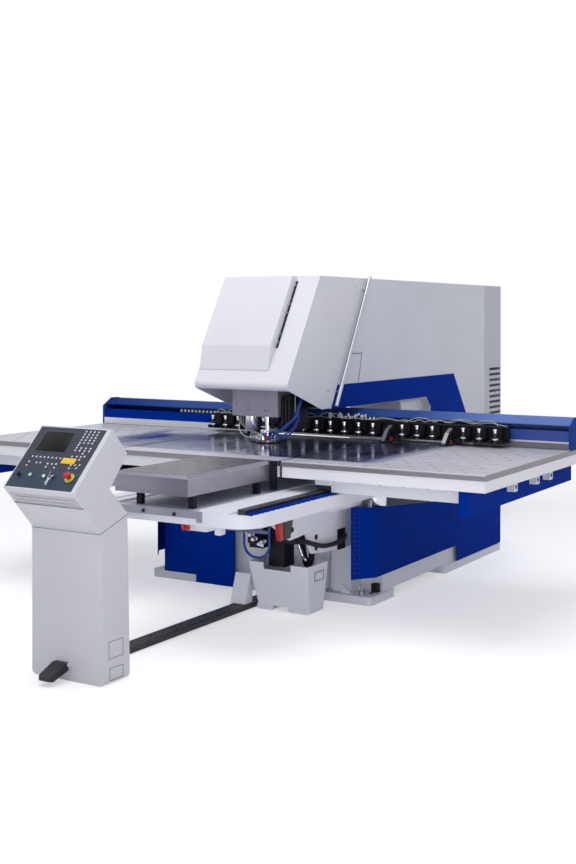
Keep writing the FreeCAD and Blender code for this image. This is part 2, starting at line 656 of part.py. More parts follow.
def flap_hinges():
    """Two fixed barrels with a pin between them, over the side flap."""
    pieces = [flap_barrel(0.02, 0.98, FLAP_PIN_R)]
    for share0, share1 in ((0.02, 0.14), (0.86, 0.98)):
        barrel = flap_barrel(share0, share1, FLAP_BARREL_R)
        y = behind(FLAP[0] + share0 * (FLAP[1] - FLAP[0]))
        depth = (share1 - share0) * (FLAP[1] - FLAP[0])
        web = box(COVER_HALF_X, FLAP_AXIS_X, y, y + depth, FLAP_AXIS_Z - 2, FLAP_AXIS_Z + 2)
        pieces.append(barrel.fuse(web))
    return pieces


def side_flap():
    """Small access flap on the right side, hung from a barrel along its upper edge."""
    y0, y1, z0, z1 = FLAP
    outline = [(behind(y0 - FLAP_SKEW), z0), (behind(y1 - FLAP_SKEW), z0), (behind(y1), z1),
               (behind(y0), z1)]
    leaf = side_prism(outline, COVER_HALF_X + RUN_GAP, COVER_HALF_X + RUN_GAP + FLAP_T)
    y = behind(y0 + 0.16 * (y1 - y0))
    depth = 0.68 * (y1 - y0)
    leaf = leaf.fuse(box(COVER_HALF_X + RUN_GAP, FLAP_AXIS_X, y, y + depth, z1 - 1, FLAP_AXIS_Z))
    leaf = leaf.fuse(flap_barrel(0.16, 0.84, FLAP_BARREL_R))
    return leaf.cut(flap_barrel(0.0, 1.0, FLAP_PIN_R + PIN_FIT)).removeSplitter()


# ---------------------------------------------------------------- punching head

def head_block():
    """Grey steel block on the nose of the arm, bored for the ram, with screw holes in its face."""
    block = box(HEAD_X[0], HEAD_X[1], ahead(HEAD_FRONT), behind(ARM_NOSE), HEAD_BOTTOM, HEAD_TOP)
    block = block.cut(post(0, PUNCH_Y, HEAD_BOTTOM - 1, HEAD_TOP + 1, RAM_R + PIN_FIT))
    for x, z in ((-50, 80), (-50, 45), (105, 45), (135, 45), (115, 15), (-150, 90)):
        start = Vector(x, ahead(HEAD_FRONT) - 1, HEAD_BOTTOM + z)
        block = block.cut(rod(start, start + Vector(0, 13, 0), 6))
    return block


def ram_cylinder():
    """Hydraulic cylinder on top of the head block, with a collar and a blind bore for the ram."""
    body = post(0, PUNCH_Y, HEAD_TOP, HEAD_TOP + 30, 105)
    body = body.fuse(post(0, PUNCH_Y, HEAD_TOP + 30, RAM_TOP + 120, 88)).removeSplitter()
    return body.cut(post(0, PUNCH_Y, HEAD_TOP - 1, RAM_TOP + 20, RAM_R + PIN_FIT))


def ram():
    """Chromed ram with a blind socket for the turning tool holder."""
    bar = post(0, PUNCH_Y, RAM_REST, RAM_TOP, RAM_R)
    return bar.cut(post(0, PUNCH_Y, RAM_REST - 1, RAM_REST + 46, RAM_R / 2 + PIN_FIT))


def tool_holder():
    """Turning tool holder: shank, toothed drive ring and socket for the punch."""
    top = RAM_REST - RUN_GAP
    ring = post(0, PUNCH_Y, top - HOLDER_H + 6, top, HOLDER_R)
    notches = []
    count = 24
    for tooth in range(count):
        angle = 2 * math.pi * tooth / count
        at = Vector(HOLDER_R * math.cos(angle), PUNCH_Y + HOLDER_R * math.sin(angle), top - 16)
        notches.append(Part.makeCylinder(4, 17, at))
    ring = ring.cut(Part.makeCompound(notches))
    ring = ring.fuse(post(0, PUNCH_Y, top, top + 40, RAM_R / 2)).removeSplitter()
    return ring.cut(post(0, PUNCH_Y, top - HOLDER_H, top - 14, PUNCH_R + 5 + PIN_FIT))


def punch():
    """Round punch with a thick shank and a plain tip."""
    shank_low = PUNCH_REST + 16
    shank_top = RAM_REST - RUN_GAP - 14
    shank = post(0, PUNCH_Y, shank_low, shank_top, PUNCH_R + 5)
    return shank.fuse(post(0, PUNCH_Y, PUNCH_REST, shank_low, PUNCH_R)).removeSplitter()


def stripper_plate():
    """Stripper ring with a tab, under the head on a thick and a thin guide rod."""
    low, high = STRIPPER_Z, STRIPPER_Z + STRIPPER_T
    plate = post(0, PUNCH_Y, low, high, STRIPPER_R)
    column_x, column_r = GUIDE_RODS[0]
    tab_r = column_r + 6
    plate = plate.fuse(box(column_x, 0, PUNCH_Y - tab_r, PUNCH_Y + tab_r, low, high))
    plate = plate.fuse(post(column_x, PUNCH_Y, low, high, tab_r))
    plate = plate.removeSplitter().cut(post(0, PUNCH_Y, low - 1, high + 1, 2 * PUNCH_R + 8))
    rods = [post(x, PUNCH_Y, high, HEAD_BOTTOM, radius) for x, radius in GUIDE_RODS]
    return Part.makeCompound([plate] + rods)


def valve_blocks():
    """Black valve block beside the head, and the two small blocks under the platform."""
    beside = box(HEAD_X[1], HEAD_X[1] + 90, ahead(150), behind(80), 1200, 1452)
    for step in range(3):
        x = HEAD_X[1] + 17 + 28 * step
        beside = beside.fuse(post(x, ahead(158), 1240, 1430, 12))
    under = ARM_TOP - ARM_T
    below = box(262, 372, ahead(660), ahead(590), 430, under)
    below = below.fuse(box(286, 352, ahead(720), ahead(660), 470, 560))
    x0, x1 = HOSE_BLOCK_X
    front, back = HOSE_BLOCK_Y
    joint = box(x0, x1, ahead(front), ahead(back), HOSE_Z - 20, under)
    return Part.makeCompound([beside.removeSplitter(), below.removeSplitter(), joint])


def blue_hoses():
    """Blue hose from the hood down to the stripper ring, and the air hose loop under the platform."""
    ring_top = STRIPPER_Z + STRIPPER_T
    head = tube_path([Vector(352, ahead(60), 1500), Vector(352, ahead(190), 1300),
                      Vector(232, ahead(200), 1200), Vector(50, ahead(54), ring_top + 62),
                      Vector(50, ahead(54), ring_top)], 12.0, 36.0)
    y = ahead(700)
    under = ARM_TOP - ARM_T
    loop = tube_path([Vector(244, y, under), Vector(244, y, 372), Vector(452, y, 372),
                      Vector(452, y, under)], 9.0, 96.0)
    return Part.makeCompound([head, loop])


def die_holder():
    """Turning lower holder with a toothed rim, a spigot and the die bore."""
    top = TABLE_TOP
    holder = post(0, PUNCH_Y, top - DIE_H, top, DIE_R)
    holder = holder.fuse(post(0, PUNCH_Y, top - DIE_H - 56, top - DIE_H, DIE_R - 35)).removeSplitter()
    holder = holder.cut(post(0, PUNCH_Y, top - 20, top + 1, PUNCH_R + DIE_FIT))
    return holder.cut(post(0, PUNCH_Y, top - DIE_H - 60, top - 19, PUNCH_R + DIE_FIT + 4))


# ---------------------------------------------------------------- fixed tables, arm and rails

def centre_table():
    """Fixed centre table: steel plate with a die opening, and a white apron at its front."""
    front = ahead(TABLE_FRONT)
    back = behind(CENTRE_BACK)
    plate = box(-CENTRE_HALF_X, CENTRE_HALF_X, front, back, TABLE_TOP - TABLE_EDGE, TABLE_TOP)
    plate = plate.cut(post(0, PUNCH_Y, TABLE_TOP - TABLE_EDGE - 1, TABLE_TOP + 1, DIE_R + 1.5))
    low = TABLE_TOP - TABLE_EDGE - TABLE_APRON
    apron = box(-CENTRE_HALF_X, CENTRE_HALF_X, front + APRON_SET, front + APRON_SET + 20, low,
                TABLE_TOP - TABLE_EDGE)
    return plate.fuse(apron).removeSplitter()


def table_posts():
    """Black posts: under the front table, at its corner, under the centre table and under the die."""
    under = TABLE_TOP - TABLE_EDGE
    x0, x1 = FRONT_TABLE_X
    posts = []
    for x in (x0 + 120, x1 - POST - 5):
        for y in (ahead(FRONT_TABLE_FRONT) + POST_SET, ahead(TABLE_FRONT) - 160):
            posts.append(box(x, x + POST, y, y + POST, ARM_TOP + PLATE_T, TABLE_TOP - FRONT_TABLE_BEVEL))
    posts.append(box(x1 + 12, x1 + 48, ahead(TABLE_FRONT) - 36, ahead(TABLE_FRONT), 900, TABLE_TOP - 2))
    for x in (-560, 480):
        posts.append(box(x, x + 80, ahead(70), behind(150), ARM_TOP, under))
    posts.append(box(-320, 320, behind(420), behind(500), JAW_TOP, under))
    pedestal = box(-110, 110, ahead(88), behind(90), ARM_TOP, TABLE_TOP - DIE_H - RUN_GAP)
    pedestal = pedestal.cut(post(0, PUNCH_Y, TABLE_TOP - DIE_H - 60, TABLE_TOP, DIE_R - 35 + PIN_FIT))
    posts.append(pedestal)
    return Part.makeCompound(posts)


def front_table():
    """Small fixed front table: bevelled steel top with a folded skirt, open below."""
    x0, x1 = FRONT_TABLE_X
    front = ahead(FRONT_TABLE_FRONT)
    back = ahead(TABLE_FRONT) - 14
    low = TABLE_TOP - FRONT_TABLE_BEVEL - FRONT_TABLE_SKIRT
    block = box(x0, x1, front, back, low, TABLE_TOP)
    edges = [e for e in block.Edges if abs(e.BoundBox.ZMin - TABLE_TOP) < 0.1 and e.BoundBox.ZLength < 0.1
             and e.BoundBox.YMin < back - 1]
    block = block.makeChamfer(FRONT_TABLE_BEVEL - 8, edges)
    return block.cut(box(x0 + 4, x1 - 4, front + 4, back - 4, low - 1, TABLE_TOP - FRONT_TABLE_BEVEL))


def lower_arm():
    """White weldment: platform, cross slab, rail beams, side plate, guide slabs and rear posts."""
    front = ahead(ARM_FRONT)
    back = behind(RAIL_BACK)
    low = ARM_TOP - ARM_T
    platform = box(ARM_LEFT, ARM_RIGHT, front, BULKHEAD_FACE, low, ARM_TOP)
    platform = fillet(platform, ARM_CORNER, lambda a, b: min(a.x, b.x) > ARM_RIGHT - 1
                      and max(a.y, b.y) < front + 1)
    pieces = [platform, box(-ARM_RIGHT, ARM_RIGHT, BULKHEAD_FACE, BULKHEAD_REAR, low, ARM_TOP),
              box(BULKHEAD_HALF_X, SHOULDER_OUT_X, ahead(SHOULDER[0]), ahead(SHOULDER[1]),
                  low - SHOULDER_H, low)]
    for side, start in ((1, BULKHEAD_REAR), (-1, ahead(LEFT_BEAM_FRONT))):
        x0, x1 = sorted((side * RAIL_BEAM_IN, side * ARM_RIGHT))
        pieces.append(box(x0, x1, start, back, low, ARM_TOP))
        x0, x1 = sorted((side * RAIL_BEAM_IN, side * BEAM_OUT_X))
        pieces.append(box(x0, x1, back - REAR_POST_LEN, back, BASE_TOP, low))
    for x0, x1 in SLABS:
        pieces.append(box(x0, x1, front, BULKHEAD_FACE, ARM_TOP, ARM_TOP + SLAB_T))
    left = SLABS[-1][0]
    pieces.append(box(left, left + RIDGE_W, front, BULKHEAD_FACE, ARM_TOP, ARM_TOP + 1.5 * SLAB_T))
    for side, x in ((1, STRIP_X[0]), (-1, -STRIP_X[1])):
        y = ahead(STRIP_BACK)
        pieces.append(box(x, x + STRIP_X[1] - STRIP_X[0], y, y + STRIP_END, ARM_TOP, ARM_TOP + STRIP_H))
    pieces.append(side_plate())
    return fuse(pieces)


def side_plate():
    """Plate under the platform's right side, with a curved lower edge, holes and a hose window."""
    low = ARM_TOP - ARM_T
    outline = [(ahead(1250), low), (ahead(1160), 700), (ahead(930), 565), (ahead(720), 578),
               (ahead(640), 430), (ahead(300), 400), (BULKHEAD_FACE, 400), (BULKHEAD_FACE, low)]
    inner = BULKHEAD_HALF_X - WEB_T
    plate = side_prism(outline, inner, BULKHEAD_HALF_X)
    for distance, z in WEB_HOLES:
        start = Vector(inner - 1, ahead(distance), z)
        plate = plate.cut(rod(start, start + Vector(WEB_T + 2, 0, 0), WEB_HOLE_R))
    front, back, z0, z1 = WEB_WINDOW
    return plate.cut(box(inner - 1, BULKHEAD_HALF_X + 1, ahead(front), ahead(back), z0, z1))


def platform_plate():
    """Steel plate on the platform, with a lip over its front and a thick piece at the lip's end."""
    x0, x1 = PLATE_X
    front = ahead(ARM_FRONT)
    top = ARM_TOP + PLATE_T
    plate = box(x0, x1, front, BULKHEAD_FACE, ARM_TOP, top)
    lip = box(x0, x1, front - PLATE_T, front, ARM_TOP - PLATE_LIP, top)
    end = box(x1, x1 + PLATE_END, front - 2 * PLATE_T, front, ARM_TOP - 1.5 * PLATE_LIP, top)
    return fuse([plate, lip, end])


def y_rails():
    """Two guide rails with undercut flanks, one on each rail beam."""
    half = RAIL_W / 2
    waist = half - RAIL_WAIST
    heights = [0.27 * RAIL_H, 0.43 * RAIL_H, 0.63 * RAIL_H, 0.8 * RAIL_H]
    flank = [(half, 0)] + list(zip((half, waist, waist, half), heights)) + [(half, RAIL_H)]
    outline = flank + [(-x, z) for x, z in reversed(flank)]
    rails = []
    for side, front in ((1, RAIL_FRONT), (-1, RAIL_FRONT_LEFT)):
        shape = [(side * RAIL_X + x, ARM_TOP + z) for x, z in outline]
        rails.append(front_prism(shape, ahead(front), behind(RAIL_BACK)))
    return Part.makeCompound(rails)


def rail_strip(front):
    """Blue strip beside a guide rail, with a scalloped outer edge."""
    x0, x1 = STRIP_X
    back = ahead(STRIP_BACK)
    top = ARM_TOP + STRIP_H
    strip = box(x0, x1, front, back, ARM_TOP, top)
    bites = []
    for n in range(int((back - front) / SCALLOP)):
        bites.append(post(x1 + 2, front + SCALLOP * (n + 0.5), ARM_TOP - 1, top + 1, SCALLOP_R))
    return strip.cut(Part.makeCompound(bites))


def rail_strips():
    return Part.makeCompound([rail_strip(ahead(RAIL_FRONT)), mirrored(rail_strip(ahead(RAIL_FRONT_LEFT)))])


# ---------------------------------------------------------------- moving tables and cross beam

def moving_table(side):
    """Moving table: bevelled steel plate over a white apron that is open below."""
    x0 = CENTRE_HALF_X + TABLE_GAP
    x1 = TABLE_OUT_X
    front = ahead(TABLE_FRONT)
    back = behind(TABLE_BACK)
    under = TABLE_TOP - TABLE_EDGE
    plate = box(x0, x1, front, back, under, TABLE_TOP)
    edges = [e for e in plate.Edges if abs(e.BoundBox.ZMin - TABLE_TOP) < 0.1 and e.BoundBox.ZLength < 0.1
             and (e.BoundBox.YMax < front + 1 or e.BoundBox.XMin > x1 - 1)]
    plate = plate.makeChamfer(7, edges)
    apron = box(x0 + APRON_SET, x1 - APRON_SET, front + APRON_SET, back - APRON_SET,
                under - TABLE_APRON, under)
    wall = APRON_SET + 16
    apron = apron.cut(box(x0 + wall, x1 - wall, front + wall, back - wall, under - TABLE_APRON - 1, under))
    table = plate.fuse(apron).removeSplitter()
    return table if side > 0 else mirrored(table)


def table_frame():
    """Frame under one moving table: inner beam over the carriages and three cross tubes."""
    under = TABLE_TOP - TABLE_EDGE
    deck = ARM_TOP + RAIL_H + CARRIAGE_H - 20
    pieces = [box(RAIL_X - 55, RAIL_X + 55, ahead(SIDE_BEAM_FRONT), behind(TABLE_BACK) - 40, deck, under)]
    for distance in (-220, 200, 470):
        pieces.append(box(RAIL_X + 40, SIDE_BEAM_X + 52, behind(distance) - 30, behind(distance) + 30,
                          deck - 46, deck + 14))
    pieces.append(box(RAIL_X + 55, SIDE_BEAM_X - SIDE_BEAM_T, ahead(SIDE_BEAM_FRONT - 20),
                      ahead(SIDE_BEAM_FRONT - 100), deck - 46, under))
    return fuse(pieces)


def side_beams():
    """Blue outer beams under the moving tables, notched round the cross tubes."""
    deck = ARM_TOP + RAIL_H + CARRIAGE_H - 20
    beam = box(SIDE_BEAM_X - SIDE_BEAM_T, SIDE_BEAM_X, ahead(SIDE_BEAM_FRONT), behind(SIDE_BEAM_BACK),
               SIDE_BEAM_BOTTOM, TABLE_TOP - TABLE_EDGE - TABLE_APRON)
    web = box(SIDE_BEAM_X - SIDE_BEAM_T, SIDE_BEAM_X, ahead(SIDE_BEAM_FRONT), behind(TABLE_BACK) - 40,
              TABLE_TOP - TABLE_EDGE - TABLE_APRON, TABLE_TOP - TABLE_EDGE)
    beam = beam.fuse(web).removeSplitter()
    for distance in (-220, 200, 470):
        beam = beam.cut(box(SIDE_BEAM_X - SIDE_BEAM_T - 1, SIDE_BEAM_X + 1, behind(distance) - 30,
                            behind(distance) + 30, deck - 46, deck + 14))
    return Part.makeCompound([beam, mirrored(beam)])


def carriages():
    """Black carriages on the guide rails, two on each side, with a groove round the rail."""
    top = ARM_TOP + RAIL_H + CARRIAGE_H - 20
    blocks = []
    for y in (ahead(875), behind(560)):
        block = box(RAIL_X - 55, RAIL_X + 55, y, y + CARRIAGE_LEN, ARM_TOP + 18, top)
        groove = box(RAIL_X - RAIL_W / 2 - RUN_GAP, RAIL_X + RAIL_W / 2 + RUN_GAP, y - 1,
                     y + CARRIAGE_LEN + 1, ARM_TOP, ARM_TOP + RAIL_H + RUN_GAP)
        block = block.cut(groove)
        blocks.append(block)
        blocks.append(mirrored(block))
    return Part.makeCompound(blocks)


def cross_beam():
    """Blue box beam of the cross rail on two seat pads, open behind its face."""
    low = TABLE_TOP + CROSS_LIFT
    front = behind(CROSS_FRONT) + 15
    back = behind(CROSS_FRONT + CROSS_DEPTH)
    beam = box(-CROSS_HALF_X, CROSS_HALF_X, front, back, low, CROSS_FACE_TOP)
    for side in (-1, 1):
        x0, x1 = sorted((side * (CENTRE_HALF_X + 60), side * (CROSS_HALF_X - 20)))
        beam = beam.fuse(box(x0, x1, front + 10, back - 10, TABLE_TOP, low))
    return beam.removeSplitter()


def guide_strip():
    """Ground steel guide strip along the front of the cross beam."""
    low = TABLE_TOP + CROSS_LIFT
    front = behind(CROSS_FRONT)
    return box(-CROSS_HALF_X, CROSS_HALF_X, front, front + 15, low, low + CROSS_STRIP)


def beam_cover():
    """Folded cover over the cross beam: back wall, narrow top and a slanted front flap."""
    y = behind(CROSS_FRONT)
    back = y + CROSS_DEPTH
    outline = [(y + 30, 1258), (y + 30, 1266), (y + 130, CROSS_TOP), (back, CROSS_TOP),
               (back, CROSS_FACE_TOP),
               (back - 30, CROSS_FACE_TOP), (back - 30, 1258)]
    return side_prism(outline, -CROSS_HALF_X, CROSS_HALF_X)


def beam_end_caps():
    """End plates of the cross rail: a plain one on the right and a pierced one on the left."""
    y = behind(CROSS_FRONT) + 4
    back = behind(CROSS_FRONT + CROSS_DEPTH) + 6
    outline = [(y, TABLE_TOP + 1), (y, 1250), (y + 110, CROSS_TOP + 4), (back, CROSS_TOP + 4),
               (back, TABLE_TOP + 1)]
    right = side_prism(outline, CROSS_HALF_X, CROSS_HALF_X + END_CAP_T)
    left = mirrored(right)
    for step, z in ((60, 1130), (60, 1200), (140, 1165)):
        start = Vector(-CROSS_HALF_X - END_CAP_T - 1, y + step, z)
        left = left.cut(rod(start, start + Vector(END_CAP_T + 2, 0, 0), 20))
    return Part.makeCompound([right, left])


def cable_chain():
    """Lower run of the cable chain in the slot above the beam: a row of links on a strip."""
    y = behind(CROSS_FRONT) + 24
    z = CROSS_FACE_TOP
    x0 = -1310.0
    pitch = 46.0
    chain = [box(x0, x0 + pitch * 20, y, y + 40, z, z + 6)]
    for n in range(20):
        x = x0 + pitch * n + 6
        chain.append(box(x, x + 28, y, y + 8, z + 6, z + 30))
        chain.append(box(x, x + 28, y + 32, y + 40, z + 6, z + 30))
    return fuse(chain)


# ---------------------------------------------------------------- tool magazine and clamps

STATIONS = int(MAG_LEN / STATION_PITCH)
FIRST_STATION = MAG_CENTRE - STATION_PITCH * (STATIONS - 1) / 2
RAIL_Y = behind(CROSS_FRONT) - RUN_GAP
SHELF_Y = behind(CROSS_FRONT) - 130.0
TOOL_Y = behind(MAG_FRONT) + 24.0


def station_x(index):
    return FIRST_STATION + STATION_PITCH * index


def tool_stations():
    return [n for n in range(STATIONS) if n not in CLAMP_STATIONS]


def magazine_rail():
    """Black rail that carries the tools: back plate, shelf and top lip."""
    x0 = MAG_CENTRE - MAG_LEN / 2
    x1 = MAG_CENTRE + MAG_LEN / 2
    outline = [(SHELF_Y, MAG_BOTTOM), (RAIL_Y, MAG_BOTTOM), (RAIL_Y, MAG_TOP), (RAIL_Y - 58, MAG_TOP),
               (RAIL_Y - 58, MAG_TOP - 10), (RAIL_Y - 38, MAG_TOP - 10), (RAIL_Y - 38, MAG_BOTTOM + 12),
               (SHELF_Y, MAG_BOTTOM + 12)]
    return side_prism(outline, x0, x1)


def cartridge(x):
    """Plastic tool cartridge: open fork at the front and an upright back."""
    low = MAG_BOTTOM + 12
    half = CART_W / 2
    fork = box(x - half, x + half, behind(MAG_FRONT), RAIL_Y - 38, low, low + 18)
    fork = fork.cut(post(x, TOOL_Y, low - 1, low + 19, 20))
    fork = fork.cut(box(x - 20, x + 20, behind(MAG_FRONT) - 1, TOOL_Y, low - 1, low + 19))
    back = box(x - 24, x + 24, RAIL_Y - 66, RAIL_Y - 38, low + 18, MAG_TOP - 12)
    return fork.fuse(back).removeSplitter()


def magazine_tool(x):
    """Punch in its cartridge: shank, collar and head."""
    low = MAG_BOTTOM + 30
    y = TOOL_Y
    return post(x, y, low - 24, low, 14).fuse(post(x, y, low, low + 10, 26)).fuse(
        post(x, y, low + 10, low + 66, 12)).fuse(post(x, y, low + 66, low + 78, 16)).removeSplitter()


def clamp_body(x):
    """Clamp body hung in front of the rail, with a lower jaw and two ears for the lever's pin."""
    low = TABLE_TOP + CROSS_LIFT
    tip = behind(MAG_FRONT - 55)
    face = SHELF_Y - 30
    outline = [(tip, low), (RAIL_Y - 50, low), (RAIL_Y - 50, MAG_BOTTOM), (SHELF_Y, MAG_BOTTOM),
               (SHELF_Y, CLAMP_PIVOT_Z - 12), (face, CLAMP_PIVOT_Z - 12), (face, low + 26), (tip, low + 8)]
    body = side_prism(outline, x - CLAMP_W / 2, x + CLAMP_W / 2)
    slot = box(x - 16, x + 16, tip - 1, SHELF_Y + 1, low + 8, CLAMP_PIVOT_Z)
    body = body.cut(slot)
    start = Vector(x - CLAMP_W / 2, face + 15, CLAMP_PIVOT_Z - 36)
    pin = rod(start, start + Vector(CLAMP_W, 0, 0), CLAMP_PIVOT_R)
    return body.fuse(pin).removeSplitter()


def clamp_jaw(x):
    """Clamp lever on its pin: a slanted bar with a flat pad at its tip."""
    low = TABLE_TOP + CROSS_LIFT + 10
    tip = behind(MAG_FRONT - 55)
    pivot_y = SHELF_Y - 15
    pivot_z = CLAMP_PIVOT_Z - 36
    outline = [(tip, low), (tip + 26, low), (pivot_y + 12, pivot_z - 16), (pivot_y + 66, pivot_z + 34),
               (pivot_y + 56, pivot_z + 46), (pivot_y - 12, pivot_z + 16), (tip, low + 12)]
    lever = side_prism(outline, x - 15, x + 15)
    return lever.cut(rod(Vector(x - 20, pivot_y, pivot_z), Vector(x + 20, pivot_y, pivot_z),
                         CLAMP_PIVOT_R + PIN_FIT))


def magazine_hoses():
    """Air hose along the magazine, in long low arches between its clips."""
    radius = 6.0
    low = MAG_TOP + radius + RUN_GAP
    y = RAIL_Y - 26
    hoses = []
    for first, count in ((0, 5), (7, 6), (15, 5)):
        x = station_x(first)
        points = [Vector(x, y, low)]
        for n in range(count):
            points.append(Vector(x + STATION_PITCH * (n + 0.35), y, low))
            points.append(Vector(x + STATION_PITCH * (n + 0.55), y - 12, low + 34))
            points.append(Vector(x + STATION_PITCH * (n + 0.85), y - 12, low + 34))
            points.append(Vector(x + STATION_PITCH * (n + 1.05), y, low))
        points.append(Vector(x + STATION_PITCH * (count + 0.4), y, low))
        hoses.append(tube_path(points, radius, 20.0))
    return Part.makeCompound(hoses)


# ---------------------------------------------------------------- operator console

PANEL_LOW = Vector(0, ahead(CONSOLE_LIP[0]), CONSOLE_LIP[1])
PANEL_HIGH = Vector(0, ahead(CONSOLE_TOP[0]), CONSOLE_TOP[1])
PANEL_UP = (PANEL_HIGH - PANEL_LOW).normalize()
PANEL_OUT = Vector(0, -PANEL_UP.z, PANEL_UP.y)
PANEL_X = (CONSOLE_X[0] + PANEL_IN, CONSOLE_X[0] + PANEL_IN + PANEL_W)
PANEL_LEN = (PANEL_HIGH - PANEL_LOW).Length


def panel_point(across, up, out=0.0):
    """Point on the console panel, from shares of its width and height and a distance off it."""
    x = PANEL_X[0] + across * (PANEL_X[1] - PANEL_X[0])
    return Vector(x, PANEL_LOW.y, PANEL_LOW.z) + PANEL_UP * (up * PANEL_LEN) + PANEL_OUT * out


def console_column():
    """Console column with rounded lower corners."""
    front = ahead(CONSOLE_FOOT_FRONT)
    back = ahead(CONSOLE_BACK)
    waist = (ahead(CONSOLE_WAIST[0]), CONSOLE_WAIST[1])
    column = side_prism([(front, 0), (front, CONSOLE_BREAK_Z), waist, (back, 0)], *CONSOLE_X)
    column = fillet(column, 30.0, lambda a, b: abs(a.z) < 1 and abs(b.z) < 1 and abs(a.x - b.x) < 1)
    return fuse([column] + pedal_ears())


def console_head():
    """Console head with a recess for the panel and a slot for the keyboard drawer."""
    outline = [(ahead(CONSOLE_FOOT_FRONT), CONSOLE_BREAK_Z), (PANEL_LOW.y, PANEL_LOW.z),
               (PANEL_HIGH.y, PANEL_HIGH.z), (ahead(CONSOLE_WAIST[0]), CONSOLE_WAIST[2]),
               (ahead(CONSOLE_REAR[0]), CONSOLE_REAR[1]), (ahead(CONSOLE_WAIST[0]), CONSOLE_WAIST[1])]
    head = side_prism(outline, *CONSOLE_X)
    low, high = PANEL_SHARES
    recess = [panel_point(0, low, -PANEL_T), panel_point(0, high, -PANEL_T), panel_point(0, high, 9),
              panel_point(0, low, 9)]
    head = head.cut(side_prism([(p.y, p.z) for p in recess], PANEL_X[0], PANEL_X[1]))
    head = head.cut(control_bores())
    upper, lower, back = drawer_outline(0.0)[:3]
    mouth = upper[0] - 60
    return head.cut(box(CONSOLE_X[0] + DRAWER_WALL, CONSOLE_X[1] - DRAWER_WALL, mouth, back[0] + 1,
                        lower[1], upper[1]))


def drawer_outline(gap):
    """Side outline of the keyboard drawer, drawn in by a running gap."""
    lip = Vector(0, PANEL_LOW.y, PANEL_LOW.z)
    foot = Vector(0, ahead(CONSOLE_FOOT_FRONT), CONSOLE_BREAK_Z)
    upper = lip + (foot - lip) * DRAWER_SHARES[0]
    lower = lip + (foot - lip) * DRAWER_SHARES[1]
    back = ahead(DRAWER_BACK)
    return [(upper.y, upper.z - gap), (lower.y, lower.z + gap), (back, lower.z + gap),
            (back, upper.z - gap)]


def keyboard_drawer():
    """Keyboard drawer: a closed tray whose front follows the head's slope."""
    x0 = CONSOLE_X[0] + DRAWER_WALL + DRAWER_GAP
    x1 = CONSOLE_X[1] - DRAWER_WALL - DRAWER_GAP
    return side_prism(drawer_outline(RUN_GAP), x0, x1)


def control_panel():
    """Dark panel plate in the console's recess, with bores for its controls."""
    low, high = PANEL_SHARES
    corners = [panel_point(0, low, -PANEL_T), panel_point(0, high, -PANEL_T), panel_point(0, high),
               panel_point(0, low)]
    plate = side_prism([(p.y, p.z) for p in corners], PANEL_X[0] + RUN_GAP, PANEL_X[1] - RUN_GAP)
    return plate.cut(control_bores())


CONTROLS = {"selector_knob": (0.11, 0.205, 9.0), "green_button": (0.28, 0.215, 10.0),
            "white_button": (0.49, 0.21, 10.0), "key_switch": (0.62, 0.22, 9.0),
            "e_stop_button": (0.865, 0.22, 11.0)}


def control_bores():
    """Bores for the stems of every control, through the panel and into the head behind it."""
    bores = []
    for across, up, radius in CONTROLS.values():
        foot = panel_point(across, up, -CONTROL_BORE)
        bores.append(rod(foot, panel_point(across, up, 1), radius + PIN_FIT))
    return Part.makeCompound(bores)


def control_stem(name, height):
    across, up, radius = CONTROLS[name]
    return rod(panel_point(across, up, -PANEL_T), panel_point(across, up, height), radius)


def selector_knob():
    """Selector with a grip bar across its top."""
    across, up = CONTROLS["selector_knob"][:2]
    knob = control_stem("selector_knob", 12)
    bar = box(-4, 4, -13, 13, 8, 20)
    bar.Placement = FreeCAD.Placement(panel_point(across, up), FreeCAD.Rotation(Vector(0, 0, 1), PANEL_OUT))
    return knob.fuse(bar).removeSplitter()


def key_switch():
    """Key switch with its key in it."""
    across, up = CONTROLS["key_switch"][:2]
    barrel = control_stem("key_switch", 9)
    bow = box(-1.5, 1.5, -11, 11, 9, 34)
    bow.Placement = FreeCAD.Placement(panel_point(across, up), FreeCAD.Rotation(Vector(0, 0, 1), PANEL_OUT))
    return barrel.fuse(bow).removeSplitter()


def e_stop_button():
    """Red mushroom button on its stem."""
    across, up = CONTROLS["e_stop_button"][:2]
    stem = control_stem("e_stop_button", 24)
    at = panel_point(across, up, 22)
    cap = rod(at, at + PANEL_OUT * 16, 21)
    rim = [e for e in cap.Edges if (e.CenterOfMass - (at + PANEL_OUT * 16)).Length < 1]
    cap = cap.makeFillet(9, rim)
    return stem.fuse(cap).removeSplitter()


PEDAL_X = (222.0, 318.0)
PEDAL_AXIS = (ahead(CONSOLE_FOOT_FRONT) - 10.0, 92.0)
PEDAL_PIN_R = 5.0


def pedal_pin(x0, x1, radius):
    return rod(Vector(x0, *PEDAL_AXIS), Vector(x1, *PEDAL_AXIS), radius)


def pedal_ears():
    """Two ears with a pin between them, that carry the foot pedal."""
    x0, x1 = PEDAL_X
    y, z = PEDAL_AXIS
    front = ahead(CONSOLE_FOOT_FRONT)
    pieces = [pedal_pin(x0 - 8, x1 + 8, PEDAL_PIN_R)]
    for left in (x0 - 8, x1 + 1):
        pieces.append(pedal_pin(left, left + 7, 10))
        pieces.append(box(left, left + 7, y, front, z - 10, z + 10))
    return pieces


